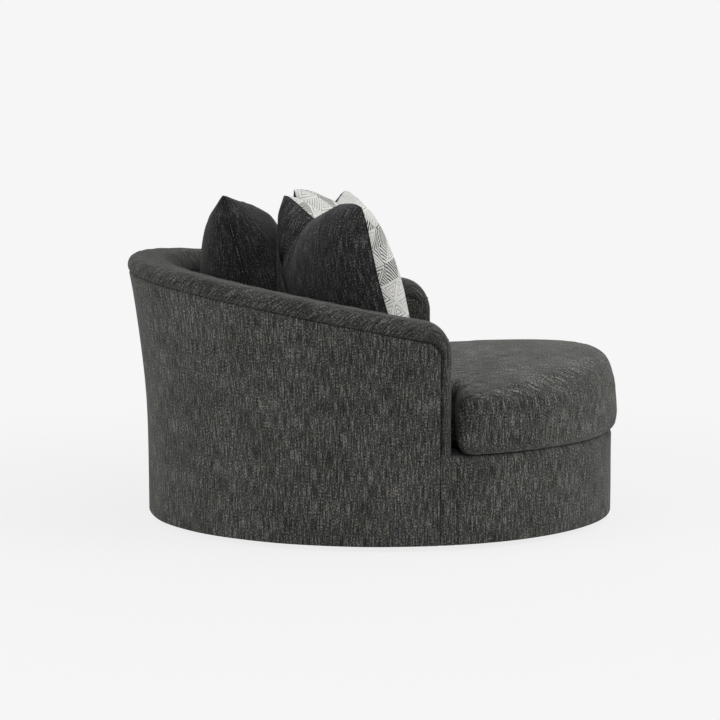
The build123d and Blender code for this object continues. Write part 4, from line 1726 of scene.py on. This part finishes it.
@dataclass
class Studio:
    """Pale floor, soft lamps and the camera."""

    backdrop: float = 0.9216
    world_light: float = 0.45
    floor_size: float = 60.0
    floor_colour: Colour = (0.8, 0.8, 0.8)
    white: Colour = (1.0, 1.0, 1.0)
    glow_near: float = 0.88
    glow_fade: Span = (0.9, 3.0)
    camera_place: Point = (-9.994, 0.335, 1.647)
    camera_aim: Point = (0.99287, -0.02721, -0.11598)
    lens: float = 162.25
    sensor: float = 36.0
    far: float = 200.0

    def build(self) -> None:
        """Set up floor, light, camera and colour."""
        self.world()
        self.floor()
        for lamp in LAMPS:
            lamp.hang()
        self.camera()
        bpy.context.scene.view_settings.view_transform = "Standard"

    def seen(self, shader: Shader) -> Socket:
        """One for rays from the camera, mirrors and glass, and zero for the rest.

        Args:
            shader: Nodes of the floor or of the world.

        Returns:
            The share.
        """
        path = shader.node("ShaderNodeLightPath", {}).outputs
        straight = shader.maths("MAXIMUM", path["Is Camera Ray"], path["Is Glossy Ray"])
        return shader.maths("MAXIMUM", straight, path["Is Transmission Ray"])

    def world(self) -> None:
        """Even light from all round, shown as the pale backdrop."""
        shader = Shader(bpy.data.worlds.new("studio"))
        bpy.context.scene.world = shader.owner
        inputs = {"Value": self.seen(shader), "To Min": self.world_light, "To Max": self.backdrop}
        strength = shader.node("ShaderNodeMapRange", inputs).outputs[0]
        background = shader.tree.nodes["Background"].inputs
        shader.feed(background["Color"], rgba(self.white))
        shader.feed(background["Strength"], strength)

    def floor(self) -> None:
        """Wide pale floor that keeps a soft shadow."""
        half = self.floor_size / 2
        corners = np.array([(-half, -half, 0), (half, -half, 0), (half, half, 0), (-half, half, 0)], float)
        floor = mesh_piece("studio_floor", corners, [(0, 1, 2, 3)])
        shader = Shader(bpy.data.materials.new("studio_floor"))
        shader.tree.nodes.remove(shader.tree.nodes["Principled BSDF"])
        diffuse = shader.node("ShaderNodeBsdfDiffuse", {"Color": rgba(self.floor_colour)}).outputs[0]
        glow = {"Color": rgba(self.white), "Strength": self.backdrop}
        shining = shader.node("ShaderNodeEmission", glow).outputs[0]
        reach = shader.node("ShaderNodeVectorMath", {0: shader.place()}, operation="LENGTH").outputs["Value"]
        share = shader.times(self.seen(shader), shader.ramp(reach, self.glow_fade, self.glow_near, 1.0))
        mixed = shader.node("ShaderNodeMixShader", {0: share, 1: diffuse, 2: shining}).outputs[0]
        shader.feed(shader.tree.nodes["Material Output"].inputs["Surface"], mixed)
        floor.data.materials.append(shader.owner)

    def camera(self) -> None:
        """Long lens from the sitter's right, a little above the rail."""
        data = bpy.data.cameras.new("camera")
        data.lens = self.lens
        data.sensor_width = self.sensor
        data.clip_end = self.far
        camera = bpy.data.objects.new("camera", data)
        set_up(camera, self.camera_place, Vector(self.camera_aim))
        bpy.context.scene.camera = camera


def make_pillows() -> list[ThrowPillow]:
    """The three pillows, each with its own stuffing and stance.

    Returns:
        The back, right and left pillow.
    """
    # The back pillow is drawn darker as painted shade
    back = ThrowPillow(
        "back_throw_pillow", "back_pillow", Body.BACK_PILLOW, Slot.PILLOW_CHENILLE,
        shift=(0, -0.037), lean=15, turn=-4, roll=-6, top=1.011,
        front_share=0.475, thickness=0.335, pressed=0.3225, relief=0.03, sag=0.3, painted_light_and_shade=-0.26,
    )
    right = ThrowPillow(
        "right_throw_pillow", "right_pillow", Body.RIGHT_PILLOW, Slot.PILLOW_PRINT,
        shift=(-0.011, -0.003), lean=17.5, turn=25, roll=1, top=1.005,
        front_share=0.45, thickness=0.268, chop=0.055, chop_place=0.33, ear_round=0.085,
    )
    left = ThrowPillow(
        "left_throw_pillow", "left_pillow", Body.LEFT_PILLOW, Slot.PILLOW_PRINT,
        shift=(0.012, -0.020), lean=21, turn=-18, roll=-4.5, top=1.008,
        front_share=0.55, thickness=0.238, chop=0.05, chop_place=0.1, ear_round=0.06, plumpness=0.48,
    )
    return [back, right, left]


def note(piece: Piece) -> None:
    """Log a finished piece."""
    log.info("%s: %d faces", piece.name, len(piece.data.polygons))


def main() -> None:
    """Build the chair's soft pieces, finish its frame and light it."""
    logging.basicConfig(level=logging.INFO, format="%(name)s %(message)s")
    charcoal, pillow_charcoal, hatched = CHARCOAL.make(), PILLOW_CHARCOAL.make(), HATCHED.make()
    form, seat = WallForm(), SeatCushion()
    for maker in (OuterCover(form), FrontBand(form), RollAndFronts(form), InsideBack(form), seat):
        piece = maker.build()
        maker.dress(piece, charcoal)
        note(piece)
    for maker in make_pillows():
        pillow = maker.build(seat)
        front = pillow_charcoal if maker.slot is Slot.PILLOW_CHENILLE else hatched
        maker.dress(pillow, pillow_charcoal, front)
        note(pillow)
    for hidden, cloth in ((DeckPad(), DECK_CLOTH), (DustCover(), DUST_CLOTH)):
        piece = hidden.build()
        hidden.dress(piece, cloth.make())
        note(piece)
    HiddenFrame(FRAME_FINISHES).dress()
    Studio().build()


if __name__ == "__main__":
    main()
